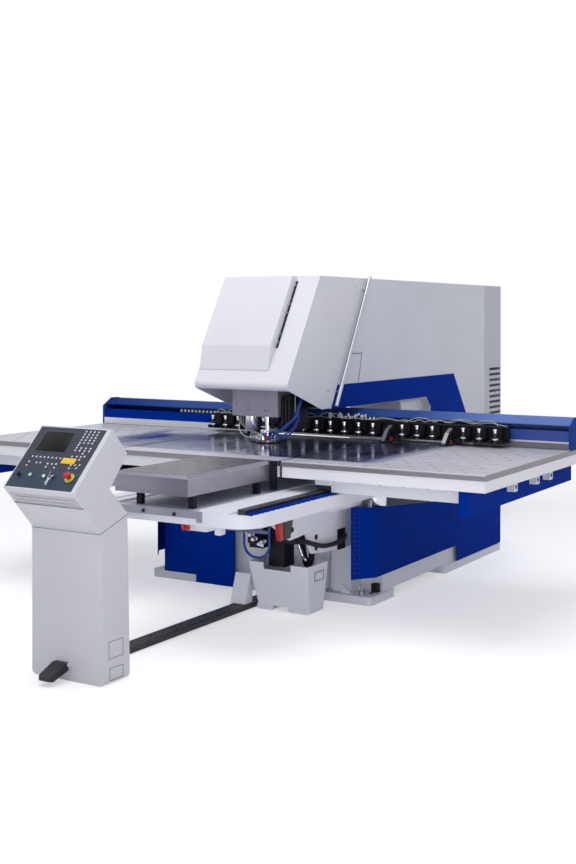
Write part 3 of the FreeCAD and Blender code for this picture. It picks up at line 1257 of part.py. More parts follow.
def foot_pedal():
    """Foot pedal: a wedge with a round nose, on a pin at its rear edge."""
    front = ahead(CONSOLE_FOOT_FRONT)
    nose = front - 158
    outline = [(front - 2, 102), (front - 2, 86), (front - 8, 58), (nose + 28, 24), (nose, 30), (nose, 48),
               (front - 30, 102)]
    wedge = side_prism(outline, *PEDAL_X)
    wedge = fillet(wedge, 26.0, lambda a, b: abs(a.y - nose) < 1 and abs(b.y - nose) < 1
                   and abs(a.x - b.x) < 1)
    return wedge.cut(pedal_pin(PEDAL_X[0] - 1, PEDAL_X[1] + 1, PEDAL_PIN_R + PIN_FIT))


# ---------------------------------------------------------------- floor pieces and fittings

def chip_bin():
    """Tapered chip bin on two feet, open at the top, with a notch in its front wall."""
    x0, x1 = BIN_X
    front = ahead(BIN_FRONT)
    back = front + BIN_DEPTH

    def ring(inset, z, draft):
        share = 1 - (z - BIN_FOOT_H) / (BIN_H - BIN_FOOT_H)
        side = draft * share
        points = [Vector(x0 + side + inset, front + side * 0.8 + inset, z),
                  Vector(x1 - side * 0.3 - inset, front + side * 0.8 + inset, z),
                  Vector(x1 - side * 0.3 - inset, back - side * 0.6 - inset, z),
                  Vector(x0 + side + inset, back - side * 0.6 - inset, z)]
        return Part.makePolygon(points + points[:1])

    shell = Part.makeLoft([ring(0, BIN_FOOT_H, BIN_DRAFT), ring(0, BIN_H, BIN_DRAFT)], True, True)
    core = Part.makeLoft([ring(BIN_WALL, BIN_FOOT_H + BIN_WALL, BIN_DRAFT),
                          ring(BIN_WALL, BIN_H + 1, BIN_DRAFT)],
                         True, True)
    tub = shell.cut(core)
    tub = tub.cut(box(x0 + 120, x1 - 140, front - 20, front + 40, BIN_H - 46, BIN_H + 1))
    feet = []
    y0 = front + BIN_DRAFT * 0.8 + 6
    y1 = back - BIN_DRAFT * 0.6 - 6
    for left, right in ((x0 + BIN_DRAFT - 16, x0 + BIN_DRAFT + 116), (x1 - 190, x1 - 16)):
        foot = box(left, right, y0, y1, 0, BIN_FOOT_H)
        feet.append(fillet(foot, 24.0, lambda a, b: abs(a.z) < 1 and abs(b.z) < 1 and abs(a.x - b.x) < 1))
    return fuse([tub] + feet)


def duct_cover():
    """White wedge cover that straddles the floor duct beside the bin."""
    front = ahead(DUCT_COVER_FRONT)
    back = front + 108
    outline = [(front, 0), (back, 0), (back, DUCT_COVER_H), (front + 84, DUCT_COVER_H)]
    wedge = side_prism(outline, *DUCT_COVER_X)
    half = DUCT_W / 2
    return wedge.cut(box(DUCT_X - half, DUCT_X + half, front - 1, back + 1, -1, DUCT_H))


def cable_duct():
    """Floor duct from the console to the machine with a slightly wider tread plate."""
    back = -ANCHOR_Y - FRONT_FOOT_LEN / 2
    front = ahead(CONSOLE_BACK)
    half = DUCT_W / 2
    body = box(DUCT_X - half + 6, DUCT_X + half - 6, front, back, 0, DUCT_H - 5)
    tread = box(DUCT_X - half, DUCT_X + half, front, back, DUCT_H - 5, DUCT_H)
    return body.fuse(tread).removeSplitter()


def pump():
    """Lubrication pump on the right base beam: shaft, flange and rounded cap."""
    y = behind(PUMP_BEHIND)
    base = BASE_TOP
    stages = []
    for radius, height in zip(PUMP_R, PUMP_H):
        stages.append(post(PUMP_X, y, base, base + height, radius))
        base += height
    rim = [e for e in stages[-1].Edges if abs(e.BoundBox.ZMin - base) < 0.1 and e.BoundBox.ZLength < 0.1]
    stages[-1] = stages[-1].makeFillet(14, rim)
    return fuse(stages)


def chip_chute():
    """Black chute from the machine into the bin."""
    x0, x1 = 372.0, 500.0
    y0, y1 = ahead(580), ahead(450)
    outer = box(x0, x1, y0, y1, BIN_H - 40, ARM_TOP - ARM_T)
    return outer.cut(box(x0 + 6, x1 - 6, y0 + 6, y1 - 6, BIN_H - 41, ARM_TOP - ARM_T - 60))


def ribbed_hose(start, direction, ribs, pitch, root, crest):
    """Ribbed hose with its bore: a ruled loft through four circles for each rib."""
    rings = []
    for n in range(ribs):
        for share, radius in ((0.0, root), (0.25, crest), (0.6, crest), (0.85, root)):
            at = Vector(pitch * (n + share), 0, 0)
            rings.append(Part.Wire(Part.Circle(at, Vector(1, 0, 0), radius).toShape()))
    length = pitch * ribs
    hose = Part.makeLoft(rings, True, True)
    hose = hose.cut(rod(Vector(-1, 0, 0), Vector(length, 0, 0), root - 4))
    hose.Placement = FreeCAD.Placement(start, FreeCAD.Rotation(Vector(1, 0, 0), direction))
    return hose


def arm_hoses():
    """Ribbed hose in its collar beside the chute, and the black hose through the side plate's window."""
    under = ARM_TOP - ARM_T
    x, y, neck = 548.0, ahead(520), under - 55
    ribbed = ribbed_hose(Vector(x, y, neck), Vector(0.16, 0, -1), RIBS, RIB_PITCH, 17.0, 21.0)
    collar = post(x, y, neck, under, 24)
    inner = BULKHEAD_HALF_X - 45
    outer = BULKHEAD_HALF_X + 40
    end_x, end_y = HOSE_BLOCK_X[1], ahead(sum(HOSE_BLOCK_Y) / 2)
    hose = tube_path([Vector(inner, BULKHEAD_FACE, 500), Vector(inner, ahead(242), 500),
                      Vector(outer, ahead(242), 500), Vector(outer, ahead(600), 470),
                      Vector(outer, end_y, HOSE_Z), Vector(end_x, end_y, HOSE_Z)], 13.0, 28.0)
    return Part.makeCompound([ribbed.fuse(collar), hose])


def supply_couplings():
    """Red and black supply couplings on the side plate."""
    x = BULKHEAD_HALF_X
    top, low = 716, 590
    red = side_prism([(ahead(1128), top), (ahead(1066), top), (ahead(1066), low), (ahead(1104), low)],
                     x, x + 30)
    black = side_prism([(ahead(1046), top), (ahead(936), top), (ahead(972), low), (ahead(1046), low)],
                       x, x + 26)
    return Part.makeCompound([red, black])


def levelling_feet():
    """Levelling screws in pads beside the anchors, and the thin leg under the platform."""
    leg = post(612, ahead(136), FOOT_T + 24, ARM_TOP - ARM_T, 8)
    foot = post(612, ahead(136), FOOT_T, FOOT_T + 24, 17)
    return Part.makeCompound(levelling_screws() + [leg.fuse(foot).removeSplitter()])


# ---------------------------------------------------------------- write every piece

CLAMP_X = [station_x(n) for n in CLAMP_STATIONS]
TOOL_X = [station_x(n) for n in tool_stations()]

PIECES = {
    "base_frame": base_frame(),
    "base_skirts": Part.makeCompound([skirt(1), skirt(-1), front_skirt()]),
    "levelling_feet": levelling_feet(),
    "c_frame": c_frame(),
    "body_cover": body_cover(),
    "rear_cover": rear_cover(),
    "side_stripes": Part.makeCompound([side_stripe(1), side_stripe(-1)]),
    "hood": hood(),
    "front_door": front_door(),
    "grab_rail": grab_rail(),
    "side_flap": side_flap(),
    "head_block": head_block(),
    "ram_cylinder": ram_cylinder(),
    "ram": ram(),
    "tool_holder": tool_holder(),
    "punch": punch(),
    "stripper_plate": stripper_plate(),
    "valve_blocks": valve_blocks(),
    "blue_hoses": blue_hoses(),
    "die_holder": die_holder(),
    "centre_table": centre_table(),
    "table_posts": table_posts(),
    "lower_arm": lower_arm(),
    "platform_plate": platform_plate(),
    "y_rails": y_rails(),
    "rail_strips": rail_strips(),
    "front_table": front_table(),
    "table_right": moving_table(1),
    "table_left": moving_table(-1),
    "table_frames": Part.makeCompound([table_frame(), mirrored(table_frame())]),
    "side_beams": side_beams(),
    "carriages": carriages(),
    "cross_beam": cross_beam(),
    "guide_strip": guide_strip(),
    "beam_cover": beam_cover(),
    "beam_end_caps": beam_end_caps(),
    "cable_chain": cable_chain(),
    "magazine_rail": magazine_rail(),
    "cartridges": Part.makeCompound([cartridge(x) for x in TOOL_X]),
    "magazine_tools": Part.makeCompound([magazine_tool(x) for x in TOOL_X]),
    "clamp_bodies": Part.makeCompound([clamp_body(x) for x in CLAMP_X]),
    "clamp_jaws": Part.makeCompound([clamp_jaw(x) for x in CLAMP_X]),
    "magazine_hoses": magazine_hoses(),
    "console_column": console_column(),
    "console_head": console_head(),
    "control_panel": control_panel(),
    "keyboard_drawer": keyboard_drawer(),
    "selector_knob": selector_knob(),
    "green_button": control_stem("green_button", 8),
    "white_button": control_stem("white_button", 8),
    "key_switch": key_switch(),
    "e_stop_button": e_stop_button(),
    "foot_pedal": foot_pedal(),
    "chip_bin": chip_bin(),
    "duct_cover": duct_cover(),
    "cable_duct": cable_duct(),
    "pump": pump(),
    "chip_chute": chip_chute(),
    "arm_hoses": arm_hoses(),
    "supply_couplings": supply_couplings(),
}

for name, shape in PIECES.items():
    save(name, shape)
    if not shape.isValid():
        print("not valid:", name)
print(len(PIECES), "pieces")
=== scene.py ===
# %% [markdown]
# This script dresses a punching machine with a C-frame, a console and a tool magazine. The solids come
# in ready made and in metres, so everything here is finish: paints, steels, plastics, small fittings,
# a floor, lamps and a camera. Loading comes first, because every later piece takes its place from it.

# %% Load the machine
import math
import random

import bmesh
import bpy
from mathutils import Matrix, Vector


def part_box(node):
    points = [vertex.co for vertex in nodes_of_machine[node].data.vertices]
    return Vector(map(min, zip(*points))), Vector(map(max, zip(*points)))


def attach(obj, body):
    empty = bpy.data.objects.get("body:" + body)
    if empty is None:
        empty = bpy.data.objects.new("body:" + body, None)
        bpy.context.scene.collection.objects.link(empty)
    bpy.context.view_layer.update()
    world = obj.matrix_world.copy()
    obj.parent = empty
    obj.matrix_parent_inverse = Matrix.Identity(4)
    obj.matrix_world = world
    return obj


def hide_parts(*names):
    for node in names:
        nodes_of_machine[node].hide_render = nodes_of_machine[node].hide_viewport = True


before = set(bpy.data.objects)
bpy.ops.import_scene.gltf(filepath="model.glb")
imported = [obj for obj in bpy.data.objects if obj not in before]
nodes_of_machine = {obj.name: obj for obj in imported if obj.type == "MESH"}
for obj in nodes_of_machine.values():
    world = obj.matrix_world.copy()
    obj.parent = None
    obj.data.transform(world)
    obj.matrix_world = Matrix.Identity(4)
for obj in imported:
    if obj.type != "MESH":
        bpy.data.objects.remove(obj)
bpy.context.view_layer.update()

# %% [markdown]
# Colours are easiest to judge as screen values from 0 to 255. A shader wants linear light instead, so one
# small helper turns the first into the second, and every colour below is written the way that it looks.


# %% Colours as screen values
def linear(value):
    """One screen value as linear light."""
    share = value / 255
    return share / 12.92 if share <= 0.04045 else ((share + 0.055) / 1.055) ** 2.4


def tone(red, green, blue):
    """A screen colour as the shader's linear numbers."""
    return (linear(red), linear(green), linear(blue), 1.0)


def darker(colour, share):
    """The same colour with a share of its light taken away."""
    return tuple(channel * (1 - share) for channel in colour[:3]) + (1.0,)


# %% [markdown]
# A finish is more than its colour. Sprayed paint has a faint orange peel, steel has the lines of its
# grinding, and plastic has a fine grain. All of these can be noise, and because it is read in the
# machine's own coordinates it sits still on the surface, with no unwrapping and no pictures. Wiring such
# nodes repeats itself, so a small class does it: it takes numbers, colours and other nodes alike.

# %% A tree of nodes
class Nodes:
    """A tree of nodes that is being wired."""

    def __init__(self, tree):
        self.tree = tree

    def put(self, socket, value):
        """Gives a socket a number, a colour or the output of another node."""
        if isinstance(value, bpy.types.NodeSocket):
            self.tree.links.new(value, socket)
        else:
            socket.default_value = value

    def add(self, kind, **settings):
        """One more node, with its input sockets set by name."""
        node = self.tree.nodes.new(kind)
        for socket, value in settings.items():
            self.put(node.inputs[socket.replace("_", " ")], value)
        return node

    def fed(self, node, values, output=0):
        """Fills a node's sockets from pairs of number and value, and gives one output."""
        for index, value in values:
            self.put(node.inputs[index], value)
        return node.outputs[output]

    def combined(self, operation, first, second):
        """Two numbers, joined by a sum, product or the like."""
        node = self.add("ShaderNodeMath")
        node.operation = operation
        return self.fed(node, ((0, first), (1, second)))

    def shaders(self, share, first, second):
        """One shader where the share is 0, the other where it is 1."""
        return self.fed(self.add("ShaderNodeMixShader"), ((0, share), (1, first), (2, second)))


# %% [markdown]
# Some solids carry two finishes. A moving table, for example, is a steel plate on a white frame. A mask
# made from the place on the machine can choose between them without cutting the mesh: below a height the
# paint, above it the steel. So a finish needs noises, mixes and masks, and nothing else.

# %% Noises, mixes and masks
class Finish(Nodes):
    """A material with noises, mixes and masks, all read in the machine's own metres."""

    def __init__(self, name):
        self.material = bpy.data.materials.new(name)
        self.material.use_nodes = True
        super().__init__(self.material.node_tree)
        self.shader = self.tree.nodes["Principled BSDF"]

    def wire(self, **values):
        """Sets sockets of the shader by name."""
        for socket, value in values.items():
            self.put(self.shader.inputs[socket.replace("_", " ")], value)
        return self

    def place(self, stretch=(1, 1, 1)):
        """The place on the machine, squeezed or stretched along its axes."""
        spot = self.add("ShaderNodeTexCoord").outputs["Object"]
        return self.add("ShaderNodeMapping", Scale=stretch, Vector=spot).outputs["Vector"]

    def mottle(self, scale, stretch=(1, 1, 1), detail=3.0):
        """Soft noise from 0 to 1, about 1 / scale metres wide."""
        return self.add("ShaderNodeTexNoise", Scale=scale, Detail=detail,
                        Vector=self.place(stretch)).outputs["Fac"]

    def spread(self, source, low, high, floor=0.35, ceiling=0.65):
        """The middle of a noise, spread from one value to another."""
        return self.add("ShaderNodeMapRange", From_Min=floor, From_Max=ceiling, To_Min=low, To_Max=high,
                        Value=source).outputs["Result"]

    def ramp(self, axis, start, end, high=1.0):
        """0 before start and high after end, along one axis of the machine."""
        split = self.add("ShaderNodeSeparateXYZ", Vector=self.place())
        return self.spread(split.outputs[axis], 0.0, high, start, end)

    def between(self, axis, low, high, soft):
        """1 between two places along an axis, fading out over a soft edge."""
        return self.combined("MULTIPLY", self.ramp(axis, low - soft, low + soft),
                             self.ramp(axis, high + soft, high - soft))

    def mix(self, share, first, second):
        """One colour where the share is 0, the other where it is 1."""
        node = self.add("ShaderNodeMix")
        node.data_type = "RGBA"
        return self.fed(node, ((0, share), (6, first), (7, second)), 2)

    def drifting(self, noise, colour, share):
        """A colour that loses a share of its light where the noise is high."""
        return self.mix(self.spread(noise, 0, 1), colour, darker(colour, share))

    def cover(self, mask, colour):
        """Lays a colour over the present one where the mask is 1."""
        present = self.shader.inputs["Base Color"].links[0].from_socket
        self.wire(Base_Color=self.mix(mask, present, colour))

    def relief(self, height, depth, strength):
        """Fine relief from a noise, with its depth in metres."""
        bump = self.add("ShaderNodeBump", Strength=strength, Distance=depth, Height=height)
        self.wire(Normal=bump.outputs["Normal"])


# %% [markdown]
# Most of the machine is sheet metal with powder coat: even, half matt, with a fine orange peel. One
# recipe serves the white, the blues and the greys. The gloss is kept low for the blues, because a strong
# one would lay a milky veil over such a deep colour.

# %% Powder coat
PEEL = 260.0          # bumps a metre of the orange peel
PEEL_DEPTH = 0.00025
DEEP_BLUE = (2, 50, 156)


def powder_coat(name, colour, gloss=0.45, shine=0.35, drift=0.05, index=1.45):
    """Sprayed and baked paint: slight drift of colour and gloss, fine orange peel."""
    coat = Finish(name)
    coat.relief(coat.mottle(PEEL), PEEL_DEPTH, 0.5)
    return coat.wire(Base_Color=coat.drifting(coat.mottle(1.7), tone(*colour), drift),
                     Roughness=coat.spread(coat.mottle(9.0), gloss - 0.04, gloss + 0.06),
                     Specular_IOR_Level=shine, IOR=index)


white_coat = powder_coat("white_powder_coat", (228, 228, 234))
pale_grey_coat = powder_coat("pale_grey_powder_coat", (236, 237, 246))
tool_black_coat = powder_coat("tool_black_coat", (18, 20, 32), shine=0.25)
shade_blue_coat = powder_coat("grey_blue_bar_coat", (96, 104, 134), gloss=0.5, shine=0.2)
deep_blue_coat = powder_coat("deep_blue_powder_coat", DEEP_BLUE, 0.5, 0.1, 0.12, 1.12)
mid_blue_coat = powder_coat("mid_blue_powder_coat", (36, 68, 146), 0.48, 0.1, 0.1, 1.12)
inner_grey_coat = powder_coat("inner_grey_paint", (120, 123, 132), gloss=0.6, shine=0.2)
rear_white_coat = powder_coat("rear_white_powder_coat", (196, 197, 207))
side_coat = powder_coat("side_powder_coat", (217, 219, 229))
console_coat = powder_coat("console_powder_coat", (216, 216, 223))
# The drawer's paint is darker than the console's as painted shade of its recess under the panel's rim.
drawer_coat_with_painted_shade = powder_coat("drawer_powder_coat_with_painted_shade", (192, 192, 199))
seam_grey = powder_coat("seam_shadow_grey", (104, 106, 118), gloss=0.6, shine=0.1)
print("coats:", [material.name for material in bpy.data.materials])

# %% [markdown]
# The beam across the machine doesn't read as one even blue. Its left end lies in shade and its right end
# faces the light, over more than four metres. Its cover and its face are one blue paint each, and soft stages
# along X paint that light into them: painted shade at the left end, painted highlights at the right end.

# %% Blues of the beam, with painted shade and highlights
beam_cover_coat = powder_coat("beam_cover_powder_coat", (14, 46, 128), 0.45, 0.14, 0.08, 1.16)
beam_face_coat = powder_coat("beam_face_powder_coat", DEEP_BLUE, 0.5, 0.1, 0.12, 1.12)
# Stages along X: painted shade at the left end, painted highlights towards the right end.
BEAM_PAINTED_SHADE_AND_LIGHT = (
    (beam_cover_coat, -1.95, -1.30, (50, 78, 146)),
    (beam_cover_coat, 0.90, 1.60, (104, 128, 194)),
    (beam_face_coat, 1.35, 1.85, (66, 86, 158)),
)
for coat, start, end, colour in BEAM_PAINTED_SHADE_AND_LIGHT:
    coat.cover(coat.ramp("X", start, end), tone(*colour))
print("stages along the beam:", len(BEAM_PAINTED_SHADE_AND_LIGHT))

# %% [markdown]
# Ground and brushed steel both get their look from long thin lines that catch the light. Noise squeezed
# along one axis makes such lines. Broad streaks as well as fine ones are needed, because from across a
# room the fine ones melt into an even grey.

# %% Steel with the lines of its grinding
LINES = {"X": (0.02, 1, 1), "Y": (1, 0.02, 1), "Z": (1, 1, 0.02)}


def ground_steel(name, colour, along="X", rough=0.32, metal=1.0, streak=0.10, fine=220.0):
    """Bare steel with fine and broad grinding lines along one axis."""
    steel = Finish(name)
    narrow = steel.mottle(fine, LINES[along], 2.0)
    steel.relief(narrow, 0.0001, 0.4)
    return steel.wire(Base_Color=steel.drifting(steel.mottle(14.0, LINES[along], 5.0), tone(*colour), streak),
                      Roughness=steel.spread(narrow, rough - 0.06, rough + 0.08), Metallic=metal)


head_steel = ground_steel("milled_head_steel", (150, 148, 163), "Z", 0.5, 0.35, 0.06)
rail_grey = ground_steel("polished_grey_tube", (176, 178, 186), "Z", 0.22)
plate_steel = ground_steel("platform_sheet_steel", (222, 226, 248), "X", 0.4, 0.25)
dark_steel = ground_steel("oiled_dark_steel", (70, 72, 80), "X", 0.4, 0.9)
collar_steel = ground_steel("dark_collar_steel", (104, 104, 112), "X", 0.26, 0.95)
clamp_steel = ground_steel("clamp_lever_steel", (120, 120, 130), "Z", 0.3, 0.9)
foot_steel = ground_steel("levelling_foot_steel", (150, 152, 160), "Z", 0.34)
front_table_steel = ground_steel("front_table_stainless", (140, 138, 152), "X", 0.36, 0.75, 0.16, 120.0)

# %% [markdown]
# The front table is a folded box of brushed stainless sheet. Its top is darker than its sides, and its
# right side, which faces the light, gets a painted highlight. The platform's front lip lies in its own
# shade, which is painted onto it. A mask with a share below 1 lets the brushing show through each of these.

# %% Faces that differ on one sheet, with a painted highlight and a painted shade
DARK_TOP_AND_LIP_SHADE = (52, 53, 62)
FRONT_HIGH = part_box("front_table")[1]
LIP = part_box("platform_plate")[0].y
# Right side of the front table: painted highlight. Its top: a darker tone. Platform lip: painted shade.
FACE_TONES_AND_PAINTED_LIGHT = (
    (front_table_steel, "X", FRONT_HIGH.x - 0.002, FRONT_HIGH.x - 0.001, 0.30, (226, 224, 232)),
    (front_table_steel, "Z", FRONT_HIGH.z - 0.002, FRONT_HIGH.z - 0.001, 0.78, DARK_TOP_AND_LIP_SHADE),
    (plate_steel, "Y", LIP + 0.012, LIP + 0.010, 0.56, DARK_TOP_AND_LIP_SHADE),
)
for steel, axis, start, end, share, colour in FACE_TONES_AND_PAINTED_LIGHT:
    steel.cover(steel.ramp(axis, start, end, share), tone(*colour))
print("front table top at", round(FRONT_HIGH.z, 3), "platform lip at", round(LIP, 3))

# %% [markdown]
# Chromed and polished parts are almost a mirror. What keeps them from looking like liquid is a very
# slight unevenness in their gloss, so the recipe is short.

# %% Chrome
def chrome(name, colour, rough=0.12):
    """Polished metal with faint smears."""
    metal = Finish(name)
    smear = metal.mottle(26.0, detail=4.0)
    return metal.wire(Base_Color=metal.drifting(smear, tone(*colour), 0.08), Metallic=1.0,
                      Roughness=metal.spread(smear, rough - 0.05, rough + 0.08))


bright_chrome = chrome("bright_chrome", (226, 228, 233))
satin_chrome = chrome("satin_chrome", (196, 198, 206), rough=0.24)
print("chromes:", bright_chrome.material.name, satin_chrome.material.name)

# %% [markdown]
# Moulded plastic and rubber have a fine grain that scatters the light. The same recipe makes both: rubber
# is only rougher and less shiny. Lamp caps and buttons are smooth, so their grain is turned down.

# %% Plastic and rubber
def moulded(name, colour, rough=0.5, grain=600.0, depth=0.00012, shine=0.4):
    """Moulded plastic or rubber with a fine grain."""
    plastic = Finish(name)
    speck = plastic.mottle(grain, detail=2.0)
    plastic.relief(speck, depth, 0.5)
    return plastic.wire(Base_Color=plastic.drifting(plastic.mottle(30.0), tone(*colour), 0.15),
                        Roughness=plastic.spread(speck, rough - 0.06, rough + 0.08),
                        Specular_IOR_Level=shine)


black_plastic = moulded("black_moulded_plastic", (30, 31, 36))
magazine_plastic = moulded("magazine_plastic", (16, 17, 24), 0.42, shine=0.2)
smoke_plastic = moulded("smoke_grey_plastic", (64, 66, 76), 0.42)
rubber = moulded("black_rubber", (26, 26, 29), 0.7, 300.0, shine=0.25)
blue_tube = moulded("blue_air_hose", (24, 70, 160), 0.3, 90.0, 0.00005)
clear_tube = moulded("clear_air_hose", (190, 188, 170), 0.28, 90.0, 0.00005)
red_cap = moulded("red_button_plastic", (196, 6, 22), 0.26, 120.0, 0.00004, 0.5)
green_cap = moulded("pale_green_button_plastic", (170, 232, 214), 0.3, 120.0, 0.00004)
white_cap = moulded("white_button_plastic", (236, 240, 240), 0.3, 120.0, 0.00004)
key_cap = moulded("white_key_plastic", (226, 230, 236), 0.4, 200.0, 0.00004)
yellow_foil = moulded("yellow_foil", (250, 208, 62), 0.45, 150.0, 0.00003)
ring_foil = moulded("yellow_green_ring_foil", (206, 214, 60), 0.42, 150.0, 0.00003)
screen_dark = moulded("dark_screen_glass", (18, 19, 24), 0.32, 60.0, 0.00001, 0.12)
rust_pad = moulded("red_brown_pad", (128, 44, 34))
tread_grey = moulded("worn_tread_grey", (110, 112, 124), 0.45)

# %% [markdown]
# The tables are the widest surface of the machine. Their outer parts are pale brushed plates, the middle
# is worn to a polish by the sheets that slide over it, and the aprons under them are painted white.
# One material follows all three, with soft borders round the polished stretch.

# %% Table plates
TABLE_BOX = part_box("table_right")
TABLE_TOP = TABLE_BOX[1].z
APRON_TOP = TABLE_TOP - 0.037
POLISHED_X = 1.25
POLISHED_Y = (-1.78, -0.50)
PALE_PLATE = tone(196, 195, 207)
EDGE_STEEL = tone(132, 131, 136)
POLISH = tone(124, 138, 182)
APRON_PAINT = tone(240, 240, 247)


def table_finish(name):
    """Polished middle, pale brushed plate, bare steel edge and white apron."""
    table = Finish(name)
    narrow = table.mottle(160.0, (0.02, 1, 1), 2.0)
    smears = table.mottle(5.0, (1, 0.35, 1), 6.0)
    plate = table.drifting(table.mottle(10.0, (0.15, 1, 1), 6.0), PALE_PLATE, 0.14)
    polish = table.drifting(smears, POLISH, 0.45)
    middle = table.combined("MULTIPLY", table.between("X", -POLISHED_X, POLISHED_X, 0.09),
                            table.between("Y", *POLISHED_Y, 0.03))
    top = table.ramp("Z", TABLE_TOP - 0.002, TABLE_TOP - 0.001)
    middle = table.combined("MULTIPLY", middle, top)
    above = table.ramp("Z", APRON_TOP - 0.0005, APRON_TOP + 0.0005)
    steel = table.mix(middle, table.mix(top, EDGE_STEEL, plate), polish)
    metal = table.combined("MAXIMUM", table.spread(middle, 0.35, 0.95, 0, 1),
                           table.spread(top, 0.9, 0.0, 0, 1))
    plain = table.spread(narrow, 0.36, 0.5)
    gap = table.combined("SUBTRACT", table.spread(smears, 0.10, 0.24), plain)
    table.relief(narrow, 0.00008, 0.3)
    return table.wire(Base_Color=table.mix(above, APRON_PAINT, steel),
                      Metallic=table.combined("MULTIPLY", above, metal),
                      Roughness=table.combined("ADD", plain, table.combined("MULTIPLY", middle, gap)))


table_plate = table_finish("table_plate_and_apron")
print("table top at", round(TABLE_TOP, 3), "apron below", round(APRON_TOP, 3))

# %% [markdown]
# A few small solids change from one material to another along a line: the supply couplings are red in
# front and black behind, the pump has a bright cap on a black shaft, and each tool in the magazine is a
# dark punch between two bright rings. One recipe with a mask along an axis serves all of them.


# %% Two materials in one solid
def two_tone(name, first, second, axis, places, metal=(0.0, 0.0), rough=(0.4, 0.4)):
    """The second finish between pairs of places along an axis, the first elsewhere."""
    pair = Finish(name)
    mask = pair.between(axis, *places[0], 0.0005)
    for low, high in places[1:]:
        mask = pair.combined("MAXIMUM", mask, pair.between(axis, low, high, 0.0005))
    speck = pair.mottle(40.0)
    pair.relief(pair.mottle(500.0), 0.00006, 0.4)
    return pair.wire(Base_Color=pair.mix(mask, pair.drifting(speck, tone(*first), 0.12),
                                         pair.drifting(speck, tone(*second), 0.12)),
                     Metallic=pair.spread(mask, *metal, 0, 1), Roughness=pair.spread(mask, *rough, 0, 1))


PUMP_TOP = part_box("pump")[1].z
TOOLS_LOW, TOOLS_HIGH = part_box("magazine_tools")
COUPLING_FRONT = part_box("supply_couplings")[0].y
PUMP_CAP_FOOT = PUMP_TOP - 0.110
pump_finish = two_tone("pump_black_and_bright", (30, 31, 38), (214, 216, 222), "Z",
                       ((PUMP_CAP_FOOT, PUMP_TOP + 0.01),), (0.1, 1.0), (0.4, 0.16))
tool_finish = two_tone("magazine_tool_steel", (64, 66, 76), (224, 226, 232), "Z",
                       ((TOOLS_LOW.z + 0.024, TOOLS_LOW.z + 0.034),
                        (TOOLS_HIGH.z - 0.030, TOOLS_HIGH.z + 0.01)), (0.8, 1.0), (0.35, 0.16))
coupling_finish = two_tone("coupling_red_and_black", (28, 29, 36), (176, 4, 18), "Y",
                           ((COUPLING_FRONT - 0.01, COUPLING_FRONT + 0.068),), rough=(0.45, 0.35))
print("pump cap from", round(PUMP_CAP_FOOT, 3), "up")

# %% [markdown]
# The long guide in front of the beam is a bright ground strip. At its right end the drive's toothed rack
# lies on it, which reads as a fine upright comb in darker steel, so the finish is banded there.

# %% Guide strip with its rack
RACK_FROM = 1.40
RACK_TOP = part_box("guide_strip")[1].z - 0.012
RACK_PITCH = 0.011
RACK_TONES = tone(132, 132, 140), tone(84, 85, 94)

guide_steel = ground_steel("guide_strip_and_rack", (214, 215, 220), streak=0.178)
along = guide_steel.add("ShaderNodeSeparateXYZ", Vector=guide_steel.place()).outputs["X"]
turns = guide_steel.combined("DIVIDE", along, RACK_PITCH)
tooth = guide_steel.combined("GREATER_THAN", guide_steel.combined("FRACT", turns, 0.0), 0.45)
here = guide_steel.combined("MULTIPLY", guide_steel.ramp("X", RACK_FROM, RACK_FROM + 0.002),
                            guide_steel.ramp("Z", RACK_TOP + 0.001, RACK_TOP))
guide_steel.cover(here, guide_steel.mix(tooth, *RACK_TONES))
guide_steel.wire(Metallic=guide_steel.spread(here, 0.95, 0.4, 0, 1))
print("rack from", RACK_FROM, "with a pitch of", RACK_PITCH)

# %% [markdown]
# The console's panel is a dark printed foil with a lighter bluish band across its lower part, where the
# push buttons sit. The band's edge is a height on the machine, found from the panel's own box.

# %% Panel foil
PANEL_LOW, PANEL_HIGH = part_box("control_panel")
BAND_SHARE = 0.29
BAND_Z = PANEL_LOW.z + BAND_SHARE * (PANEL_HIGH.z - PANEL_LOW.z)

dark_panel = Finish("panel_foil")
cloud = dark_panel.spread(dark_panel.mottle(6.0), 0, 1)
grain = dark_panel.mottle(500.0)
dark_panel.relief(grain, 0.00006, 0.5)
dark_panel.wire(Base_Color=dark_panel.mix(dark_panel.ramp("Z", BAND_Z - 0.0004, BAND_Z + 0.0004),
                                          dark_panel.mix(cloud, tone(42, 62, 84), tone(36, 54, 76)),
                                          dark_panel.mix(cloud, tone(50, 57, 74), tone(44, 50, 66))),
                Roughness=dark_panel.spread(grain, 0.38, 0.5), Specular_IOR_Level=0.3)
print("band of the panel below", round(BAND_Z, 3))

# %% [markdown]
# Now every solid gets its finish. A table of names is the shortest way to do it: one line for each
# finish, with the solids that wear it.

